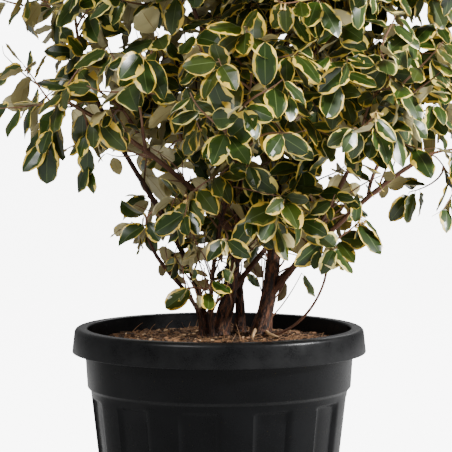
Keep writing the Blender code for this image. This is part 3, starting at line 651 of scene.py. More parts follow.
@dataclass(frozen=True)
class LeafMaker:
    """Makes leaves that differ in outline, waves, cream margins and bend."""

    width: float = 0.57
    petiole: float = 0.10
    petiole_radius: float = 0.013
    rib: float = 0.028
    thickness: float = 0.017
    stations: tuple = (0.0, 0.05, 0.16, 0.30, 0.44, 0.58, 0.73, 0.88, 1.0)

    def _half_width(self, s: np.ndarray, base: float, point: float) -> np.ndarray:
        """The blade's half width at a share of its length.

        Args:
            s: The shares of the length.
            base: How slender its root is, from blunt at 0.4 to a wedge at 1.
            point: How slender its tip is.

        Returns:
            A half width for each share.
        """
        widest = base / (base + point)
        full = widest**base * (1.0 - widest) ** point
        return 0.5 * self.width * s**base * (1.0 - s) ** point / full

    def form(self, seed: int) -> LeafForm:
        """One leaf.

        Args:
            seed: Picks its outline, waves, margin and bend.

        Returns:
            Its shape, with the root at zero, its length along X and its upper side at +Z.
        """
        rng = np.random.default_rng(seed)
        s = np.array(self.stations)
        rows = len(s)
        arch, dome = rng.uniform(-0.02, 0.36), rng.uniform(-0.06, 0.16)
        fold, pucker = rng.uniform(-0.10, 0.30), rng.uniform(0.004, 0.009)
        wave, turns, phase = rng.uniform(0.012, 0.038), rng.uniform(1.2, 2.8), rng.uniform(0.0, math.tau)
        twist = rng.uniform(-0.30, 0.30)
        base, point = rng.uniform(0.50, 0.70), rng.uniform(0.56, 0.78)
        uneven = rng.uniform(0.86, 1.12) * np.concatenate([[1.0], rng.uniform(0.95, 1.05, rows - 2), [1.0]])
        slant = rng.uniform(0.10, 0.18)

        def surface(v: np.ndarray, lift: float = 0.0) -> np.ndarray:
            t = s + slant * (np.abs(v) - 0.5) * np.sin(math.pi * s)
            half = self._half_width(np.clip(t, 0.0, 1.0), base, point) * uneven
            x = self.petiole + (1.0 - self.petiole) * t
            y = v * half
            ripple = wave * np.abs(v) ** 3 * np.sin(math.tau * turns * t + phase + 1.9 * np.sign(v))
            z = -dome * v**2 * half * 2.0 + ripple - arch * t**2 * (1.0 - self.petiole) + lift
            quilt = pucker * np.cos(math.pi * np.arange(rows)) * np.sin(math.pi * np.minimum(np.abs(v), 1.0))
            z = z + fold * np.abs(y) + quilt
            return np.column_stack([x, y, z + twist * y * t])

        edges, inners = [], []
        for _ in range(2):
            broad = 0.22 * np.clip(s * 1.6 - 0.3, 0.0, 1.0) if rng.uniform() < 0.30 else 0.0
            edge = rng.uniform(0.90, 0.98) - broad - 0.32 * rng.uniform(0.0, 1.0, rows) ** 2.8
            edges.append(edge)
            inners.append(edge - rng.uniform(0.10, 0.30, rows))
        ones = np.ones(rows)
        columns = [
            surface(-ones), surface(-edges[0]), surface(-inners[0]), surface(-self.rib * ones),
            surface(self.rib * ones), surface(inners[1]), surface(edges[1]), surface(ones),
        ]
        top = len(columns)
        columns += [
            surface(-inners[0], -self.thickness), surface(-self.rib * ones, -1.2 * self.thickness),
            surface(self.rib * ones, -1.2 * self.thickness), surface(inners[1], -self.thickness),
        ]
        points, number = [], {}

        def corner(column: int, row: int) -> int:
            if row in (0, rows - 1):
                column = 0
            key = (column, row)
            if key not in number:
                number[key] = len(points)
                points.append(columns[column][row])
            return number[key]

        strips = (Zone.MARGIN, Zone.HALO, Zone.CENTRE, Zone.RIB, Zone.CENTRE, Zone.HALO, Zone.MARGIN)
        below = [top - 1, *range(len(columns) - 1, top - 1, -1), 0]
        below_zones = (Zone.UNDERSIDE, Zone.UNDERSIDE, Zone.KEEL, Zone.UNDERSIDE, Zone.UNDERSIDE)
        faces, zones = [], []
        splash = rng.uniform(0.15, 0.65)
        for row in range(rows - 1):
            for column, zone in enumerate(strips):
                patch = zone
                if zone is Zone.HALO:
                    draw = rng.uniform()
                    patch = Zone.MARGIN if draw < 0.09 else Zone.HALO if draw < splash else Zone.CENTRE
                faces.append([corner(column, row), corner(column, row + 1),
                              corner(column + 1, row + 1), corner(column + 1, row)][::-1])
                zones.append(patch)
            for near, far, zone in zip(below, below[1:], below_zones):
                faces.append([corner(near, row), corner(near, row + 1), corner(far, row + 1),
                              corner(far, row)][::-1])
                zones.append(zone)
        faces = [self._trimmed(face) for face in faces]
        stalk = np.array([(0.0, 0.0, 0.0), (self.petiole * 1.25, 0.0, -self.thickness / 2)])
        stalk_points, stalk_faces = tube(stalk, np.array((1.0, 0.7)) * self.petiole_radius, 3)
        offset = len(points)
        faces.extend((stalk_faces + offset).tolist())
        zones.extend([Zone.PETIOLE] * len(stalk_faces))
        return LeafForm(np.vstack([points, stalk_points]), np.array(faces), tuple(zones))

    @staticmethod
    def _trimmed(face: list) -> list:
        """A face whose repeated point, at the leaf's ends, stands last."""
        seen = list(dict.fromkeys(face))
        return seen if len(seen) == 4 else [*seen, seen[-1]]


class Space:
    """An ellipsoid cut by a plane towards each neighbour, so that masses never meet."""

    def __init__(self, mass: Mass, rivals: list) -> None:
        """Works out the planes.

        Args:
            mass: The mass that lives in the space.
            rivals: The other masses.
        """
        self.centre, self.radii = mass.centre, mass.radii
        self.lowest = self.centre[2] - mass.foot * self.radii[2]
        normals, limits = [], []
        for rival in rivals:
            way = rival.centre - self.centre
            share = np.mean(mass.radii) / (np.mean(mass.radii) + np.mean(rival.radii))
            normal = unit(way)
            normals.append(normal)
            limits.append(float((self.centre + way * share) @ normal) - SPACE_MARGIN)
        self.normals, self.limits = np.array(normals), np.array(limits)

    def inside(self, points: np.ndarray, overlap: float = 0.0) -> np.ndarray:
        """Whether each point is inside.

        Args:
            points: The points, one row each.
            overlap: How far a point may stand past the plane towards a neighbour.

        Returns:
            A truth value for each point.
        """
        points = np.atleast_2d(points)
        round_part = (((points - self.centre) / self.radii) ** 2).sum(axis=1) <= 1.0
        high_part = points[:, 2] >= self.lowest
        return round_part & high_part & (points @ self.normals.T <= self.limits + overlap).all(axis=1)

    def aims(self, count: int, rng: np.random.Generator, outward: np.ndarray, depth: float) -> list:
        """Points spread evenly through the space for twigs to grow to.

        Args:
            count: How many.
            rng: The seeded source of chance.
            outward: The way out of the crown.
            depth: How far under the space's skin a twig stops.

        Returns:
            A list of points.
        """
        found = []
        shell = np.maximum(1.0 - depth / self.radii, 0.0)
        for i in range(count):
            height = 1.0 - 2.0 * (i + 0.5) / count
            turn = i * GOLDEN_TURN + rng.uniform(-0.25, 0.25)
            ring = math.sqrt(1.0 - height**2)
            way = np.array((ring * math.cos(turn), ring * math.sin(turn), height))
            point = self.centre + way * self.radii * shell * rng.uniform(0.42, 1.0) + outward * 0.008
            beyond = self.normals @ point - self.limits + 0.008
            for normal, over in zip(self.normals, beyond):
                if over > 0:
                    point = point - normal * over
            found.append(point)
        return found


@dataclass(frozen=True)
class Core:
    """The inside of the crown, round its axis, between the masses and the stems."""

    centre: np.ndarray = field(default_factory=lambda: np.array((*CROWN_AXIS, 0.60)))
    radius: float = 0.135
    foot: float = 0.36
    top: float = 0.90

    def inside(self, points: np.ndarray, overlap: float = 0.0) -> np.ndarray:
        """Whether each point is inside, or past the side by no more than the overlap."""
        points = np.atleast_2d(points)
        away = np.linalg.norm(points[:, :2] - self.centre[:2], axis=1)
        return (away <= self.radius + overlap) & (points[:, 2] >= self.foot) & (points[:, 2] <= self.top)


class Crowd:
    """The middles of the leaves so far, so that no two share a place."""

    def __init__(self, most: int = 12000) -> None:
        """Makes room for the middles."""
        self.middles = np.empty((most, 3))
        self.count = 0

    def takes(self, middle: np.ndarray, closest: float) -> bool:
        """Whether a leaf fits, and if so keeps its middle.

        Args:
            middle: The leaf's middle.
            closest: The least distance to any other leaf's middle.

        Returns:
            Whether the leaf was taken in.
        """
        others = self.middles[: self.count]
        if self.count and np.linalg.norm(others - middle, axis=1).min() < closest:
            return False
        self.middles[self.count] = middle
        self.count += 1
        return True


@dataclass
class Twig:
    """A twig's path and its radii."""

    points: np.ndarray
    radii: np.ndarray


@dataclass
class Skeleton:
    """Every stem and bough, worked out as for the solids."""

    limbs: dict = field(default_factory=dict)
    rings: int = 60

    def grow(self) -> None:
        """Works out every limb, and a bough for each mass that has one of its own."""
        for limb in STEMS + BOUGHS:
            self._grow_limb(limb)
        for mass in MASSES:
            if mass.bough:
                self._grow_limb(self._own_bough(mass))

    def _grow_limb(self, limb: Limb) -> None:
        """Works out one limb's path and radii."""
        if limb.foot:
            foot = np.array((*limb.foot, SOIL_CROWN_Z + GAP))
            start = foot + UP * STRAIGHT_FOOT
            path = smooth_path(start, limb.tip, limb.leave, limb.arrive, self.rings)
            points = np.vstack([foot, path])
        else:
            start, _, _ = self.limbs[limb.parent].at(limb.share)
            points = smooth_path(start, limb.tip, limb.leave, limb.arrive, self.rings)
        along = lengths_along(points)
        radii = limb.thick + (limb.thin - limb.thick) * (along / along[-1]) ** 0.8
        if limb.foot:
            radii = radii + FLARE_SHARE * limb.thick * np.exp(-along / FLARE_HEIGHT)
        self.limbs[limb.name] = GrownLimb(points, radii)

    def _own_bough(self, mass: Mass) -> Limb:
        """The bough that leaves the mass's carrier and ends inside its space."""
        start, heading, radius = self.limbs[mass.carrier].at(mass.share)
        way = mass.centre - start
        tip = mass.centre - unit(way) * BOUGH_STOP * min(mass.radii)
        side = way - heading * float(way @ heading)
        leave = unit(side) + BOUGH_RISE * heading
        thick = min(BOUGH_THICK, 0.8 * radius)
        return Limb(
            mass.name.replace("leaves", "bough"), tuple(tip), tuple(leave), tuple(unit(way) + 0.5 * UP),
            thick, min(BOUGH_THIN, 0.8 * thick), parent=mass.carrier, share=mass.share,
        )

    def start_of(self, mass: Mass) -> tuple[np.ndarray, np.ndarray, float]:
        """Where the mass's own stem begins.

        Args:
            mass: The mass.

        Returns:
            The place, the heading and the radius.
        """
        limb = mass.name.replace("leaves", "bough") if mass.bough else mass.carrier
        place, heading, radius = self.limbs[limb].at(1.0 if mass.bough else mass.share)
        if mass.bough or mass.share == 1.0:
            return place, heading, radius
        way = mass.centre - place
        return place, unit(way - heading * float(way @ heading)), 0.0016


@dataclass
class Bark:
    """A mesh with bark's relief for every limb."""

    skeleton: Skeleton
    kit: ShaderKit
    ring_step: float = 0.0032
    stand_out: float = 0.0002

    def build(self) -> None:
        """Builds one piece for each limb."""
        stem, bough = self.kit.speckled(STEM_BARK), self.kit.speckled(BOUGH_BARK)
        for number, (name, limb) in enumerate(self.skeleton.limbs.items()):
            is_stem = name.startswith("stem")
            piece = self._piece(name, limb, number, stem if is_stem else bough)
            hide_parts(name)
            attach(piece, "root")
            log.info("%s: %d faces", piece.name, len(piece.data.polygons))

    def _piece(self, name: str, limb: GrownLimb, number: int, material) -> bpy.types.Object:
        """One limb's piece, ridged along its length and knotted here and there."""
        along = lengths_along(limb.points)
        rings = max(int(along[-1] / self.ring_step), 12)
        goal = np.linspace(0.0, along[-1], rings)
        points = np.column_stack([np.interp(goal, along, limb.points[:, k]) for k in range(3)])
        radii = np.interp(goal, along, limb.radii) + self.stand_out
        sides = 28 if radii.max() > 0.008 else 16 if radii.max() > 0.003 else 10
        angle = np.arange(sides) / sides * math.tau
        relief = np.empty((rings, sides))
        for i, far in enumerate(goal):
            for j, turn in enumerate(angle):
                spot = Vector((math.cos(turn) * 2.4, math.sin(turn) * 2.4, far * 32.0 + 7.3 * number))
                fine = Vector((math.cos(turn) * 6.0, math.sin(turn) * 6.0, far * 90.0 + 3.1 * number))
                flake = max(noise.noise(fine), 0.0)
                relief[i, j] = 0.12 * noise.noise(spot) + 0.13 * flake
        knots = 1.0 + 0.10 * np.sin(goal / 0.021 + number) ** 8
        shape, faces = tube(points, radii[:, None] * (knots[:, None] + relief), sides)
        joiner = MeshJoiner()
        joiner.add(shape, faces, np.zeros(len(faces), int))
        piece = joiner.build(f"bark_{name}", [material], math.radians(50))
        self._unwrap(piece, sides, rings, goal)
        return piece

    @staticmethod
    def _unwrap(piece: bpy.types.Object, sides: int, rings: int, goal: np.ndarray) -> None:
        """Lays the bark's pattern round and along the limb, in centimetres."""
        layer = piece.data.uv_layers.new(name="bark")
        for polygon in piece.data.polygons:
            for corner in polygon.loop_indices:
                vertex = piece.data.loops[corner].vertex_index
                ring, side = divmod(vertex, sides)
                ring = min(ring, rings - 1)
                layer.data[corner].uv = (abs(side / sides - 0.5) * 4.0, goal[ring] * 100.0)


@dataclass
class Foliage:
    """The twigs, leaves and blossom of every mass."""

    skeleton: Skeleton
    kit: ShaderKit
    leaf_length: float = 0.048
    aims_per_mass: int = 48
    forms: int = 24
    closest: float = 0.0104
    overlap: float = 0.024
    small_leaf: float = 0.034
    stray_foot: float = 0.040
    stray_slope: float = 0.70
    shortest_twig: float = 0.008
    path_cost: float = 0.45
    seed: int = 4000

    def __post_init__(self) -> None:
        """Makes the leaf shapes and gathers the limbs' places."""
        large, small = LeafMaker(), LeafMaker(stations=SMALL_STATIONS)
        self.leaf_forms = [large.form(seed) for seed in range(self.forms)]
        self.small_forms = [small.form(seed) for seed in range(self.forms)]
        self.crowd = Crowd()
        limbs = self.skeleton.limbs.values()
        self.limb_points = np.vstack([limb.points for limb in limbs])
        self.limb_radii = np.concatenate([limb.radii for limb in limbs])

    def build(self) -> None:
        """Grows every mass, and joins its twigs, leaves and blossom with those of its tier."""
        leaf_materials = self._leaf_materials()
        twig_material = self.kit.plain(PlainFinish("young_bark", (0.190, 0.098, 0.054), 0.6, 0.4))
        petal = self.kit.plain(PlainFinish("petal", (0.720, 0.500, 0.150), 0.55))
        groups = {"low": (FOOT, LOW), "middle": (MIDDLE,), "upper": (UPPER,), "crown": (CROWN,)}
        for group, tiers in groups.items():
            masses = [mass for mass in MASSES if mass.tier in tiers]
            halves = [masses[::2], masses[1::2]] if len(masses) > 4 else [masses]
            for half, chosen in enumerate(halves):
                leaves, twigs, blossom = MeshJoiner(), MeshJoiner(), MeshJoiner()
                for mass in chosen:
                    self._grow_mass(mass, leaves, twigs, blossom)
                label = f"{group}_{half + 1}"
                nodes = [mass.name for mass in chosen]
                piece = leaves.build(f"leaves_{label}", leaf_materials, LEAF_CREASE)
                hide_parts(*nodes)
                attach(piece, "root")
                log.info("leaves_%s: %d triangles", label, leaves.triangles)
                piece = twigs.build(f"twigs_{label}", [twig_material], math.radians(60))
                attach(piece, "root")
                log.info("twigs_%s: %d triangles", label, twigs.triangles)
                if blossom.count:
                    piece = blossom.build(f"blossom_{label}", [petal], math.radians(60))
                    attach(piece, "root")
        leaves, twigs = MeshJoiner(), MeshJoiner()
        self._stray_twigs(twigs, leaves)
        self._inner_twigs(twigs, leaves)
        piece = leaves.build("leaves_inner", leaf_materials, LEAF_CREASE)
        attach(piece, "root")
        log.info("leaves_inner: %d triangles", leaves.triangles)
        piece = twigs.build("twigs_inner", [twig_material], math.radians(60))
        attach(piece, "root")
        log.info("twigs_inner: %d triangles", twigs.triangles)

    def _leaf_materials(self) -> list:
        """The plain materials of every spray's zones, in the order of the leaves' slots."""
        materials = []
        rib = self.kit.plain(PlainFinish("leaf_rib", RIB_COLOUR, 0.45))
        keel = self.kit.plain(PlainFinish("leaf_keel", KEEL_COLOUR, 0.55))
        petiole = self.kit.plain(PlainFinish("leaf_petiole", PETIOLE_COLOUR, 0.55))
        for spray in SPRAYS:
            own = {
                Zone.CENTRE: self.kit.plain(PlainFinish(f"leaf_centre_{spray.name}", spray.centre, 0.32, 0.40, 0.10)),
                Zone.HALO: self.kit.plain(PlainFinish(f"leaf_halo_{spray.name}", spray.halo, 0.34, 0.40, 0.10)),
                Zone.MARGIN: self.kit.plain(PlainFinish(f"leaf_margin_{spray.name}", spray.margin, 0.34)),
                Zone.RIB: rib,
                Zone.UNDERSIDE: self.kit.plain(PlainFinish(f"leaf_under_{spray.name}", spray.underside, 0.62)),
                Zone.KEEL: keel,
                Zone.PETIOLE: petiole,
            }
            materials.extend(own[zone] for zone in Zone)
        return materials

    def _grow_mass(self, mass: Mass, leaves: MeshJoiner, twigs: MeshJoiner, blossom: MeshJoiner) -> None:
        """Grows one mass into the joiners of its tier."""
        number = MASSES.index(mass)
        rng = np.random.default_rng(self.seed + number)
        space = Space(mass, [other for other in MASSES if other is not mass])
        start, heading, radius = self.skeleton.start_of(mass)
        outward = unit(np.array((mass.centre[0] - CROWN_AXIS[0], mass.centre[1], 0.35 * (mass.centre[2] - 0.55))))
        bulk = float(np.prod(mass.radii)) / float(np.prod(MIDDLE.radii))
        count = max(int(self.aims_per_mass * mass.fullness * bulk**0.8), round(4 * mass.fullness))
        goal = space.centre + outward * 0.1 * float(np.mean(space.radii))
        goal = goal + mass.trail * (start + heading * 0.045 - goal)
        grown = self._grow_twigs(space, start, heading, radius, goal, count, rng, outward)
        for twig in grown:
            shape, faces = tube(twig.points, twig.radii, 5)
            twigs.add(shape, faces, np.zeros(len(faces), int))
        for place, twig in enumerate(grown):
            spray = int(rng.integers(len(SPRAYS)))
            for root, way in self._roots(twig, place == 0, rng):
                self._leaf(space, root, way, outward, mass.turned, mass.leaf, spray, leaves, rng)
            if rng.uniform() < 0.10:
                self._flowers(twig, blossom, rng)
            if rng.uniform() < 0.12:
                self._bare_tip(space, twig, twigs, rng)

    def _grow_twigs(self, space: Space, start, heading, radius, goal, count, rng, outward) -> list:
        """A leader from the limb, then one twig to each aim from the cheapest place.

        Args:
            space: The mass's space.
            start: Where the leader begins.
            heading: Its heading there.
            radius: Its radius there.
            goal: Where it ends.
            count: How many aims the space is given.
            rng: The seeded source of chance.
            outward: The way out of the crown.

        Returns:
            The twigs, the leader first.
        """
        bend = start + heading * STRAIGHT_FOOT
        leader = np.vstack([start, smooth_path(bend, goal, heading, unit(goal - start) + 0.3 * outward, 9)])
        twigs = [Twig(leader, np.linspace(radius, 0.0013, len(leader)))]
        along = lengths_along(leader)
        places = [leader[i] for i in range(2, len(leader))]
        ways = [unit(leader[i] - leader[i - 1]) for i in range(2, len(leader))]
        costs = [along[i] for i in range(2, len(leader))]
        aims = space.aims(count, rng, outward, 0.45 * self.leaf_length)
        for aim in sorted(aims, key=lambda p: float(np.linalg.norm(p - start))):
            way = aim - np.array(places)
            far = np.linalg.norm(way, axis=1)
            cosine = (way * np.array(ways)).sum(axis=1) / np.maximum(far, 1e-6)
            total = far + self.path_cost * np.array(costs) + np.where(cosine < -0.17, 0.05, 0.0)
            best = int(np.argmin(total))
            if far[best] < self.shortest_twig:
                continue
            place, way_in, cost = places[best], ways[best], costs[best]
            reach = float(far[best])
            sag = rng.normal(0.0, 0.18, 3)
            leave = 0.7 * way_in + unit(aim - place) + sag
            arrive = unit(aim - place) + 0.35 * UP - sag
            path = smooth_path(place, aim, leave, arrive, 7)
            if not space.inside(path[1:]).all():
                continue
            thick = 0.0015 if reach > 0.05 else 0.0012 if reach > 0.03 else 0.0009
            twigs.append(Twig(path, np.linspace(thick, 0.0006, len(path))))
            for i in (3, 6):
                places.append(path[i])
                ways.append(unit(path[i] - path[i - 1]))
                costs.append(cost + reach * i / 6)
        return twigs

    def _roots(self, twig: Twig, leader: bool, rng: np.random.Generator) -> list:
        """Where leaves root on a twig: a rosette near its tip and others down it by turns.

        Args:
            twig: The twig.
            leader: Whether it is the mass's first twig, bare in its first half.
            rng: The seeded source of chance.

        Returns:
            Pairs of a place and the way that its leaf sets off.
        """
        along = lengths_along(twig.points)
        length = along[-1]
        goals = [length - d for d in (0.0005, 0.0022, 0.0045, 0.0080, 0.0130) if d < length]
        low = 0.5 if leader else 0.22
        far = length - 0.024
        while far > low * length:
            goals.append(far)
            far -= rng.uniform(0.012, 0.019)
        found, turn = [], rng.uniform(0.0, math.tau)
        for k, goal in enumerate(goals):
            root = np.array([np.interp(goal, along, twig.points[:, i]) for i in range(3)])
            index = min(int(np.searchsorted(along, goal)), len(along) - 1)
            heading = unit(twig.points[index] - twig.points[index - 1])
            side = unit(np.cross(heading, UP + 0.01))
            other = np.cross(side, heading)
            angle = turn + k * GOLDEN_TURN
            tilt = math.radians(rng.uniform(28, 50) if k < 2 else rng.uniform(48, 82))
            spread = math.cos(angle) * side + math.sin(angle) * other
            found.append((root, math.cos(tilt) * heading + math.sin(tilt) * spread))
        return found

    def _leaf(self, space: Space | Core, root: np.ndarray, way: np.ndarray, outward: np.ndarray,
              turned: float, size: float, spray: int, leaves: MeshJoiner, rng: np.random.Generator) -> None:
        """Adds one leaf where it fits.

        Args:
            space: The mass's space.
            root: The leaf's root on its twig.
            way: The way it sets off.
            outward: The way out of the crown.
            turned: How far the leaves' faces lean to the back.
            size: How large the mass's leaves are, against the others.
            spray: The number of the spray's colours.
            leaves: The joiner of the tier's leaves.
            rng: The seeded source of chance.
        """
        spread = unit(0.6 * outward + unit(root - space.centre + 1e-6) * 0.6 + turned * BACK)
        length = self.leaf_length * size * (0.52 + 0.52 * rng.beta(1.8, 2.0))
        along = unit(0.85 * way + 0.30 * spread - rng.uniform(0.30, 1.20) * UP)
        tip = root + along * length - UP * 0.10 * length
        middle = root + along * length * 0.55
        if not space.inside(np.vstack([middle, tip]), self.overlap).all():
            return
        if not self._clear_of_limbs(np.vstack([middle, tip, (middle + tip) / 2]), 0.002):
            return
        if self.crowd.takes(middle, self.closest * size**2):
            self._set_leaf(root, along, spread, length, spray, leaves, rng)

    def _clear_of_limbs(self, points: np.ndarray, slack: float) -> bool:
        """Whether all the points stand at least the slack away from every limb's side."""
        gaps = np.linalg.norm(points[:, None] - self.limb_points[None], axis=2) - self.limb_radii
        return bool(gaps.min() >= slack)

    def _bare_tip(self, space: Space, twig: Twig, twigs: MeshJoiner, rng: np.random.Generator) -> None:
        """Adds a thin bare shoot that stands past a twig's leaves, where there is room."""
        heading = unit(twig.points[-1] - twig.points[-2])
        way = unit(heading + 0.35 * UP + rng.normal(0.0, 0.25, 3))
        path = smooth_path(twig.points[-1], twig.points[-1] + way * rng.uniform(0.010, 0.022), heading, way, 5)
        if space.inside(path).all() and self._clear_of_limbs(path[1:], 0.001):
            shape, faces = tube(path, np.linspace(0.0007, 0.0004, 5), 4)
            twigs.add(shape, faces, np.zeros(len(faces), int))

    def _stray_twigs(self, twigs: MeshJoiner, leaves: MeshJoiner) -> None:
        """Adds thin twigs between the stems, some with a small leaf at the tip."""
        rng = np.random.default_rng(self.seed - 1)
        for name, shares, count, most in STRAYS:
            for _ in range(count):
                place, heading, _ = self.skeleton.limbs[name].at(rng.uniform(*shares))
                side = unit(rng.normal(0.0, 1.0, 3))
                side = unit(side - heading * float(side @ heading))
                way = unit(side + rng.uniform(0.5, 2.4) * heading)
                length, bend = rng.uniform(0.024, 0.080), rng.normal(0.0, 0.30, 3)
                path = smooth_path(place, place + way * length, way + bend, way - bend + 0.3 * UP, 8)
                wide = self.stray_foot + self.stray_slope * (path[-1, 2] - SOIL_CROWN_Z)
                if np.linalg.norm(path[-1, :2] - CROWN_AXIS) > wide:
                    continue
                if path[:, 2].min() < SOIL_CROWN_Z + 0.006 or not self._clear_of_limbs(path[4:], 0.0015):
                    continue
                shape, faces = tube(path, np.linspace(0.0013, 0.0006, 8), 4)
                twigs.add(shape, faces, np.zeros(len(faces), int))
                for turn in range(int(rng.integers(0, most + 1))):
                    spread = unit(side + rng.normal(0.0, 0.8, 3) - 0.3 * UP)
                    small = rng.uniform(0.016, 0.034)
                    if self._clear_of_limbs((path[-1] + spread * small * np.array([[0.5], [1.0]])), 0.002):
                        self._set_leaf(path[-1 - turn], spread, side, small, int(rng.integers(len(SPRAYS))),
                                       leaves, rng)

    def _inner_twigs(self, twigs: MeshJoiner, leaves: MeshJoiner) -> None:
        """Adds leafy twigs that leave the stems inside the crown.

        Args:
            twigs: The joiner of the twigs.
            leaves: The joiner of their leaves.
        """
        rng = np.random.default_rng(self.seed - 2)
        core = Core()
        for name, shares, count in INNER:
            for number in range(count):
                share = shares[0] + (shares[1] - shares[0]) * (number + rng.uniform()) / count
                place, heading, _ = self.skeleton.limbs[name].at(share)
                side = np.array((math.cos(number * GOLDEN_TURN), math.sin(number * GOLDEN_TURN), 0.0))
                side = unit(side - heading * float(side @ heading))
                way = unit(side + rng.uniform(0.1, 0.9) * heading)
                length, bend = rng.uniform(0.035, 0.090), rng.normal(0.0, 0.25, 3)
                path = smooth_path(place, place + way * length, way + bend, way - bend + 0.3 * UP, 8)
                if not core.inside(path).all() or not self._clear_of_limbs(path[3:], 0.0015):
                    continue
                twig = Twig(path, np.linspace(0.0014, 0.0006, 8))
                shape, faces = tube(twig.points, twig.radii, 4)
                twigs.add(shape, faces, np.zeros(len(faces), int))
                spray = int(rng.integers(len(SPRAYS)))
                for root, leaf_way in self._roots(twig, False, rng):
                    self._leaf(core, root, leaf_way, side, 0.0, 1.0, spray, leaves, rng)

    def _set_leaf(self, root: np.ndarray, along: np.ndarray, spread: np.ndarray, length: float,
                  spray: int, leaves: MeshJoiner, rng: np.random.Generator) -> None:
        """Adds a leaf.

        Args:
            root: Its root on its twig.
            along: The way it grows.
            spread: The way out that its face leans to.
            length: Its length.
            spray: The number of its spray's colours.
            leaves: The joiner it goes to.
            rng: The seeded source of chance.
        """
        face = 0.50 * UP + 0.85 * spread + rng.normal(0.0, 0.36, 3)
        face = unit(face - along * float(face @ along))
        frame = np.column_stack([along, np.cross(face, along), face])
        forms = self.small_forms if length < self.small_leaf else self.leaf_forms
        form = forms[int(rng.integers(self.forms))]
        leaves.add(root + form.points * length @ frame.T, form.faces, form.slots + spray * len(Zone))

    @staticmethod
    def _flowers(twig: Twig, blossom: MeshJoiner, rng: np.random.Generator) -> None:
        """Adds a few small hanging bells near a twig's tip."""
        for _ in range(int(rng.integers(4, 9))):
            root = twig.points[-1] - unit(twig.points[-1] - twig.points[-2]) * rng.uniform(0.001, 0.008)
            way = unit(rng.normal(0.0, 0.7, 3) - 0.7 * UP)
            path = root + way * np.array((0.0, 0.0025, 0.0055, 0.0072, 0.0080))[:, None]
            shape, faces = tube(path, np.array((0.0004, 0.0006, 0.0011, 0.0021, 0.0016)), 4)
            blossom.add(shape, faces, np.zeros(len(faces), int))


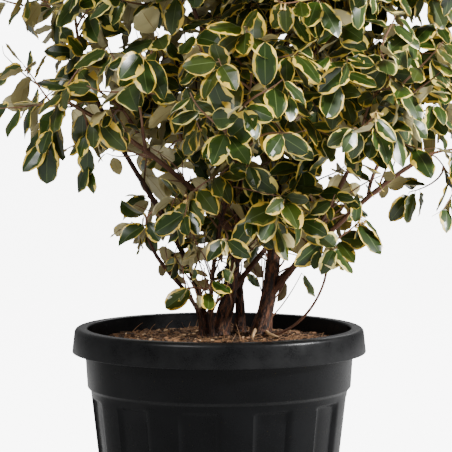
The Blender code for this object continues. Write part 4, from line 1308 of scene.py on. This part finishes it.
@dataclass
class Pot:
    """The fluted nursery pot."""

    kit: ShaderKit
    height: float = 0.275
    wall: float = 0.0025
    lip_radius: float = 0.1715
    lip_depth: float = 0.0285
    shoulder: float = 0.1690
    rim_inner: float = 0.1538
    band_top: float = 0.1580
    band_foot: float = 0.1535
    band_foot_z: float = 0.2055
    step_radius: float = 0.1500
    step_z: float = 0.2025
    foot_radius: float = 0.1272
    floor: float = 0.0035
    flutes: int = 11
    flute_depth: float = 0.0038
    flute_top: float = 0.1965
    flute_foot: float = 0.0100
    flute_turn: float = math.radians(7.8)
    columns_per_flute: int = 24
    drain_holes: int = 5
    drain_radius: float = 0.0070
    drain_ring: float = 0.0920

    def wall_radius(self, height: float) -> float:
        """The fluted wall's outer radius at a height, before its flutes."""
        share = (self.step_z - height) / self.step_z
        return self.step_radius + share * (self.foot_radius - self.step_radius)

    @staticmethod
    def _arc(centre: tuple, radius: float, start: float, end: float, steps: int = 5) -> list:
        """Points of an arc in the pot's section.

        Args:
            centre: Its centre, as a radius and a height.
            radius: Its radius.
            start: The angle it starts at, in degrees.
            end: The angle it ends at.
            steps: How many stretches it has.

        Returns:
            Pairs of a radius and a height.
        """
        turns = [math.radians(start + (end - start) * i / steps) for i in range(steps + 1)]
        return [(centre[0] + radius * math.cos(a), centre[1] + radius * math.sin(a)) for a in turns]

    def profile(self) -> list:
        """The section, from the floor's middle up the inner wall, over the lip and down the outer side."""
        top, skirt = self.height, self.height - self.lip_depth
        inner_foot = self.wall_radius(self.floor) - self.flute_depth - self.wall
        inner_step = self.wall_radius(self.step_z) - self.flute_depth - self.wall
        section = [(0.0, self.floor)]
        section += [(inner_foot * k / 6, self.floor) for k in range(1, 6)]
        section += self._arc((inner_foot - 0.003, self.floor + 0.003), 0.003, -90, 0, 3)
        section += [(inner_step, self.step_z), (self.rim_inner, self.step_z + 0.042)]
        section += self._arc((self.rim_inner + 0.0022, top - 0.0022), 0.0022, 180, 90)
        section += self._arc((self.shoulder - 0.0055, top - 0.0055), 0.0055, 90, 6, 7)
        section += self._arc((self.lip_radius - 0.0012, skirt + 0.0012), 0.0012, 0, -90, 3)
        section += self._arc((self.lip_radius - self.wall + 0.0006, skirt + 0.0006), 0.0006, -90, -180, 2)
        section += [
            (self.shoulder - self.wall, top - 2 * self.wall),
            (self.band_top, top - 2 * self.wall),
            (self.band_foot + 0.0004, self.band_foot_z + 0.0012),
            (self.band_foot - 0.0002, self.band_foot_z + 0.0002),
            (self.band_foot - 0.0010, self.band_foot_z - 0.0004),
            (self.step_radius + 0.0008, self.step_z + 0.0004),
            (self.step_radius, self.step_z - 0.0008),
        ]
        for z in self._wall_heights():
            section.append((self.wall_radius(z), z))
        section += self._arc((self.foot_radius - 0.0030, 0.0030), 0.0030, -8, -90, 4)
        section += [(self.foot_radius * k / 6, 0.0) for k in range(5, 0, -1)] + [(0.0, 0.0)]
        return section

    def _wall_heights(self) -> list:
        """Heights down the fluted wall, close together where the flutes begin and end."""
        ease = [0.0, 0.0012, 0.0026, 0.0042, 0.0060]
        top = [self.flute_top - e for e in ease]
        foot = [self.flute_foot + e for e in reversed(ease)]
        middle = np.linspace(top[-1], foot[0], 14)[1:-1]
        return [*top, *middle, *foot]

    def _press_flutes(self, mesh: bpy.types.Mesh) -> None:
        """Presses the sunk panels into the outer wall with soft edges."""
        for point in mesh.vertices:
            x, y, z = point.co
            radius = math.hypot(x, y)
            if radius < self.wall_radius(z) - 0.0004 or not self.flute_foot <= z <= self.flute_top:
                continue
            share = (math.atan2(y, x) - self.flute_turn + math.pi / 2) / math.tau * self.flutes % 1.0
            across = self._smooth((0.28 - abs(share - 0.5)) / 0.060)
            down = self._smooth((self.flute_top - z) / 0.0060) * self._smooth((z - self.flute_foot) / 0.0060)
            sunk = radius - self.flute_depth * across * down
            point.co.x, point.co.y = x * sunk / radius, y * sunk / radius

    @staticmethod
    def _smooth(value: float) -> float:
        """A value eased between 0 and 1."""
        value = min(max(value, 0.0), 1.0)
        return value * value * (3.0 - 2.0 * value)

    def build(self) -> None:
        """Spins the section, presses the flutes and drills the floor."""
        section = self.profile()
        mesh = bpy.data.meshes.new("nursery_pot")
        edges = [(i, i + 1) for i in range(len(section) - 1)]
        mesh.from_pydata([(r, 0.0, z) for r, z in section], edges, [])
        pot = bpy.data.objects.new("nursery_pot", mesh)
        bpy.context.scene.collection.objects.link(pot)
        make_active(pot)
        bpy.ops.object.mode_set(mode="EDIT")
        bpy.ops.mesh.select_all(action="SELECT")
        columns = self.flutes * self.columns_per_flute
        bpy.ops.mesh.spin(steps=columns, angle=math.tau, center=(0, 0, 0), axis=(0, 0, 1))
        bpy.ops.mesh.select_all(action="SELECT")
        bpy.ops.mesh.remove_doubles(threshold=1e-5)
        bpy.ops.mesh.normals_make_consistent(inside=False)
        bpy.ops.object.mode_set(mode="OBJECT")
        self._press_flutes(mesh)
        self._drill(pot)
        mesh = pot.data
        mesh.shade_smooth()
        mesh.set_sharp_from_angle(angle=math.radians(38))
        mesh.materials.clear()
        mesh.materials.append(self.kit.speckled(POT_PLASTIC))
        mesh.materials.append(self.kit.speckled(RIM_DUST_AND_SHEEN))
        for face in mesh.polygons:
            radius = math.hypot(face.center.x, face.center.y)
            # The lip and the inner wall above the step take the lighter material: dust, plus a painted highlight on
            # the lip and a painted reflection on the inner wall.
            dust_and_sheen = radius > self.band_top + 0.002 or (radius < self.rim_inner and face.center.z > self.step_z)
            face.material_index = int(dust_and_sheen)
        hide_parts("pot")
        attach(pot, "root")
        log.info("nursery_pot: %d faces", len(mesh.polygons))

    def _drill(self, pot: bpy.types.Object) -> None:
        """Cuts the drain holes through the floor."""
        for hole in range(self.drain_holes):
            angle = hole / self.drain_holes * math.tau
            place = (self.drain_ring * math.cos(angle), self.drain_ring * math.sin(angle), self.floor / 2)
            deselect_all()
            bpy.ops.mesh.primitive_cylinder_add(
                vertices=24, radius=self.drain_radius, depth=4 * self.floor, location=place,
            )
            drill = bpy.context.object
            cut = pot.modifiers.new("Drain", "BOOLEAN")
            cut.operation, cut.object = "DIFFERENCE", drill
            apply_modifier(pot, "Drain")
            bpy.data.objects.remove(drill, do_unlink=True)


# The bare ends of roots at the foot of the right stems: places along each, and the radius at each.
ROOT_BITS = (
    (((0.042, -0.008, 0.272), (0.0400, -0.016, 0.269), (0.039, -0.026, 0.2665), (0.0395, -0.034, 0.2645)),
     (0.0024, 0.0020, 0.0016, 0.0009)),
    (((0.054, -0.006, 0.271), (0.058, -0.016, 0.2685), (0.065, -0.024, 0.2665), (0.073, -0.030, 0.2640)),
     (0.0022, 0.0019, 0.0015, 0.0008)),
)


@dataclass
class Compost:
    """The root ball's surface with chips of bark on it."""

    kit: ShaderKit
    pot: Pot
    edge_z: float = 0.2565
    crown_radius: float = 0.0780
    slope_radius: float = 0.1180
    slope_rise: float = 0.0040
    columns: int = 220
    chips: int = 5200
    fibres: int = 110

    def height_at(self, x: float, y: float) -> float:
        """The surface's height at a place, with its crumbs."""
        radius = math.hypot(x, y)
        edge = self.pot.rim_inner
        base = float(np.interp(radius, (0.0, self.crown_radius, self.slope_radius, edge),
                               (SOIL_CROWN_Z, SOIL_CROWN_Z, self.edge_z + self.slope_rise, self.edge_z)))
        rough = 0.0016 * noise.noise(Vector((x * 60, y * 60, 0.3))) + 0.0011 * noise.noise(Vector((x * 220, y * 220, 5)))
        return base - 0.0008 + rough

    def build(self) -> None:
        """Builds the root ball and its chips."""
        ball = self._ball()
        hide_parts("root_ball")
        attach(ball, "root")
        chips = self._chips()
        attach(chips, "root")
        log.info("compost: %d faces, chips: %d faces", len(ball.data.polygons), len(chips.data.polygons))

    def _ball(self) -> bpy.types.Object:
        """The root ball: a spun section whose top is roughened."""
        pot = self.pot
        edge = pot.rim_inner - GAP
        slack = pot.flute_depth + pot.wall + GAP
        foot_z = pot.floor + GAP
        section = [(edge * k / 60, SOIL_CROWN_Z) for k in range(61)]
        section += [
            (edge, self.edge_z - 0.012), (pot.wall_radius(pot.step_z) - slack, pot.step_z),
            (pot.wall_radius(foot_z) - slack - 0.001, foot_z), (0.0, foot_z),
        ]
        mesh = bpy.data.meshes.new("compost_ball")
        mesh.from_pydata([(r, 0.0, z) for r, z in section], [(i, i + 1) for i in range(len(section) - 1)], [])
        ball = bpy.data.objects.new("compost_ball", mesh)
        bpy.context.scene.collection.objects.link(ball)
        make_active(ball)
        bpy.ops.object.mode_set(mode="EDIT")
        bpy.ops.mesh.select_all(action="SELECT")
        bpy.ops.mesh.spin(steps=self.columns, angle=math.tau, center=(0, 0, 0), axis=(0, 0, 1))
        bpy.ops.mesh.select_all(action="SELECT")
        bpy.ops.mesh.remove_doubles(threshold=1e-5)
        bpy.ops.mesh.normals_make_consistent(inside=False)
        bpy.ops.object.mode_set(mode="OBJECT")
        for point in mesh.vertices:
            if point.co.z > self.edge_z - 0.011:
                point.co.z = self.height_at(point.co.x, point.co.y)
        mesh.shade_smooth()
        mesh.materials.append(self.kit.speckled(COMPOST))
        return ball

    def _chips(self) -> bpy.types.Object:
        """Chips of bark and crumbs, strewn over the surface."""
        rng = np.random.default_rng(77)
        cube = np.array([(x, y, z) for x in (-1, 1) for y in (-1, 1) for z in (-1, 1)], float) / 2
        faces = np.array([(0, 1, 3, 2), (4, 6, 7, 5), (0, 4, 5, 1), (2, 3, 7, 6), (0, 2, 6, 4), (1, 5, 7, 3)])
        joiner = MeshJoiner()
        for _ in range(self.chips):
            radius = (self.pot.rim_inner - 0.006) * math.sqrt(rng.uniform(0.0, 1.0))
            angle = rng.uniform(0.0, math.tau)
            x, y = radius * math.cos(angle), radius * math.sin(angle)
            length = 0.0010 + 0.0050 * rng.uniform(0.0, 1.0) ** 4
            size = np.array((length, length * rng.uniform(0.3, 0.8), length * rng.uniform(0.15, 0.4)))
            turn, tilt = rng.uniform(0.0, math.tau), rng.normal(0.0, 0.55)
            shape = (cube + rng.normal(0.0, 0.09, cube.shape)) * size
            about_z = np.array([[math.cos(turn), -math.sin(turn), 0], [math.sin(turn), math.cos(turn), 0], [0, 0, 1]])
            about_x = np.array([[1, 0, 0], [0, math.cos(tilt), -math.sin(tilt)], [0, math.sin(tilt), math.cos(tilt)]])
            place = np.array((x, y, self.height_at(x, y) + 0.4 * size[2]))
            shape = shape @ (about_z @ about_x).T + place
            joiner.add(shape, faces, np.full(len(faces), int(rng.choice(3, p=(0.62, 0.32, 0.06)))))
        self._strew_fibres(joiner, rng)
        for path, radii in ROOT_BITS:
            shape, faces = tube(np.array(path), np.array(radii), 6)
            joiner.add(shape, faces, np.full(len(faces), 3))
        finishes = (
            PlainFinish("chip_dark", (0.030, 0.015, 0.007), 0.9, 0.25),
            PlainFinish("chip_brown", (0.150, 0.074, 0.033), 0.85, 0.3),
            PlainFinish("chip_pale", (0.360, 0.230, 0.120), 0.8, 0.3),
            PlainFinish("root_pale", (0.400, 0.255, 0.130), 0.7, 0.3),
            PlainFinish("fibre", (0.200, 0.105, 0.048), 0.8, 0.3),
        )
        return joiner.build("bark_chips", [self.kit.plain(finish) for finish in finishes], math.radians(30))

    def _strew_fibres(self, joiner: MeshJoiner, rng: np.random.Generator) -> None:
        """Adds thin fibres and straws that lie or stand on the compost."""
        for _ in range(self.fibres):
            radius, angle = rng.uniform(0.03, self.pot.rim_inner - 0.012), rng.uniform(0.0, math.tau)
            x, y = radius * math.cos(angle), radius * math.sin(angle)
            root = np.array((x, y, self.height_at(x, y) - 0.001))
            rise = 1.2 if rng.uniform() < 0.25 else 0.25
            length = rng.uniform(0.006, 0.024)
            way = unit(np.array((rng.normal(), rng.normal(), rise)))
            inward = -0.5 * np.array((x, y, 0.0)) / radius
            path = smooth_path(root, root + (way + inward * 0.4) * length, way, way + inward - 0.2 * UP, 5)
            shape, faces = tube(path, np.linspace(0.00045, 0.00020, 5), 4)
            joiner.add(shape, faces, np.full(len(faces), 4))


@dataclass
class Studio:
    """A pale floor, a pale backdrop, soft lights and the camera."""

    camera_place: tuple = (0.008, -2.5, 0.5545)
    camera_pitch: float = 3.7
    lens: float = 171.2
    sensor: float = 36.0
    surround: float = 0.31
    backdrop: float = 8.0
    floor_glow: float = 7.5

    def build(self) -> None:
        """Builds the stage, the lights and the camera."""
        self._stage()
        self._lights()
        deselect_all()
        bpy.ops.object.camera_add(
            location=self.camera_place, rotation=(math.radians(90 - self.camera_pitch), 0.0, 0.0),
        )
        camera = bpy.context.object
        camera.data.lens, camera.data.sensor_width = self.lens, self.sensor
        bpy.context.scene.camera = camera

    def _stage(self) -> None:
        """A wide flat floor, glowing evenly where the camera sees it."""
        deselect_all()
        bpy.ops.mesh.primitive_plane_add(size=60.0, location=(0.0, 0.0, 0.0))
        floor = bpy.context.object
        floor.name = "floor"
        material = bpy.data.materials.new("studio_paper")
        material.use_nodes = True
        shader = material.node_tree.nodes["Principled BSDF"]
        shader.inputs["Base Color"].default_value = (0.50, 0.50, 0.50, 1.0)
        shader.inputs["Roughness"].default_value = 0.9
        nodes, links = material.node_tree.nodes, material.node_tree.links
        glow, path = nodes.new("ShaderNodeEmission"), nodes.new("ShaderNodeLightPath")
        scaled, both = nodes.new("ShaderNodeMath"), nodes.new("ShaderNodeAddShader")
        scaled.operation = "MULTIPLY"
        scaled.inputs[1].default_value = self.floor_glow
        links.new(path.outputs["Is Camera Ray"], scaled.inputs[0])
        links.new(scaled.outputs[0], glow.inputs["Strength"])
        links.new(shader.outputs[0], both.inputs[0])
        links.new(glow.outputs[0], both.inputs[1])
        links.new(both.outputs[0], nodes["Material Output"].inputs["Surface"])
        floor.data.materials.append(material)

    def _lights(self) -> None:
        """A large soft key light from the upper right, a weak fill and an even surround."""
        lights = (
            ("key", (2.80, -0.95, 1.75), 0.40, 290.0),
            ("fill", (-1.4, -2.3, 2.4), 0.8, 92.0),
            ("back", (0.4, 2.2, 2.2), 1.6, 34.0),
        )
        for name, place, size, power in lights:
            deselect_all()
            aim = Vector((0.0, 0.0, 0.55)) - Vector(place)
            bpy.ops.object.light_add(type="AREA", location=place, rotation=aim.to_track_quat("-Z", "Y").to_euler())
            light = bpy.context.object
            light.name = name
            light.data.size, light.data.energy = size, power
        self._surround()

    def _surround(self) -> None:
        """An even soft surround. The backdrop that the camera sees is brighter than what it casts."""
        world = bpy.context.scene.world or bpy.data.worlds.new("surround")
        bpy.context.scene.world = world
        world.use_nodes = True
        nodes, links = world.node_tree.nodes, world.node_tree.links
        cast = nodes["Background"]
        cast.inputs["Color"].default_value = (1.0, 1.0, 1.0, 1.0)
        cast.inputs["Strength"].default_value = self.surround
        seen = nodes.new("ShaderNodeBackground")
        seen.inputs["Color"].default_value = (1.0, 1.0, 1.0, 1.0)
        seen.inputs["Strength"].default_value = self.backdrop
        path, blend = nodes.new("ShaderNodeLightPath"), nodes.new("ShaderNodeMixShader")
        links.new(path.outputs["Is Camera Ray"], blend.inputs["Fac"])
        links.new(cast.outputs[0], blend.inputs[1])
        links.new(seen.outputs[0], blend.inputs[2])
        links.new(blend.outputs[0], nodes["World Output"].inputs["Surface"])


def main() -> None:
    """Builds the studio, the limbs, the foliage, the compost and the pot."""
    logging.basicConfig(level=logging.INFO, format="%(name)s: %(message)s")
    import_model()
    kit = ShaderKit()
    Studio().build()
    skeleton = Skeleton()
    skeleton.grow()
    Bark(skeleton, kit).build()
    Foliage(skeleton, kit).build()
    pot = Pot(kit)
    Compost(kit, pot).build()
    pot.build()


if __name__ == "__main__":
    main()
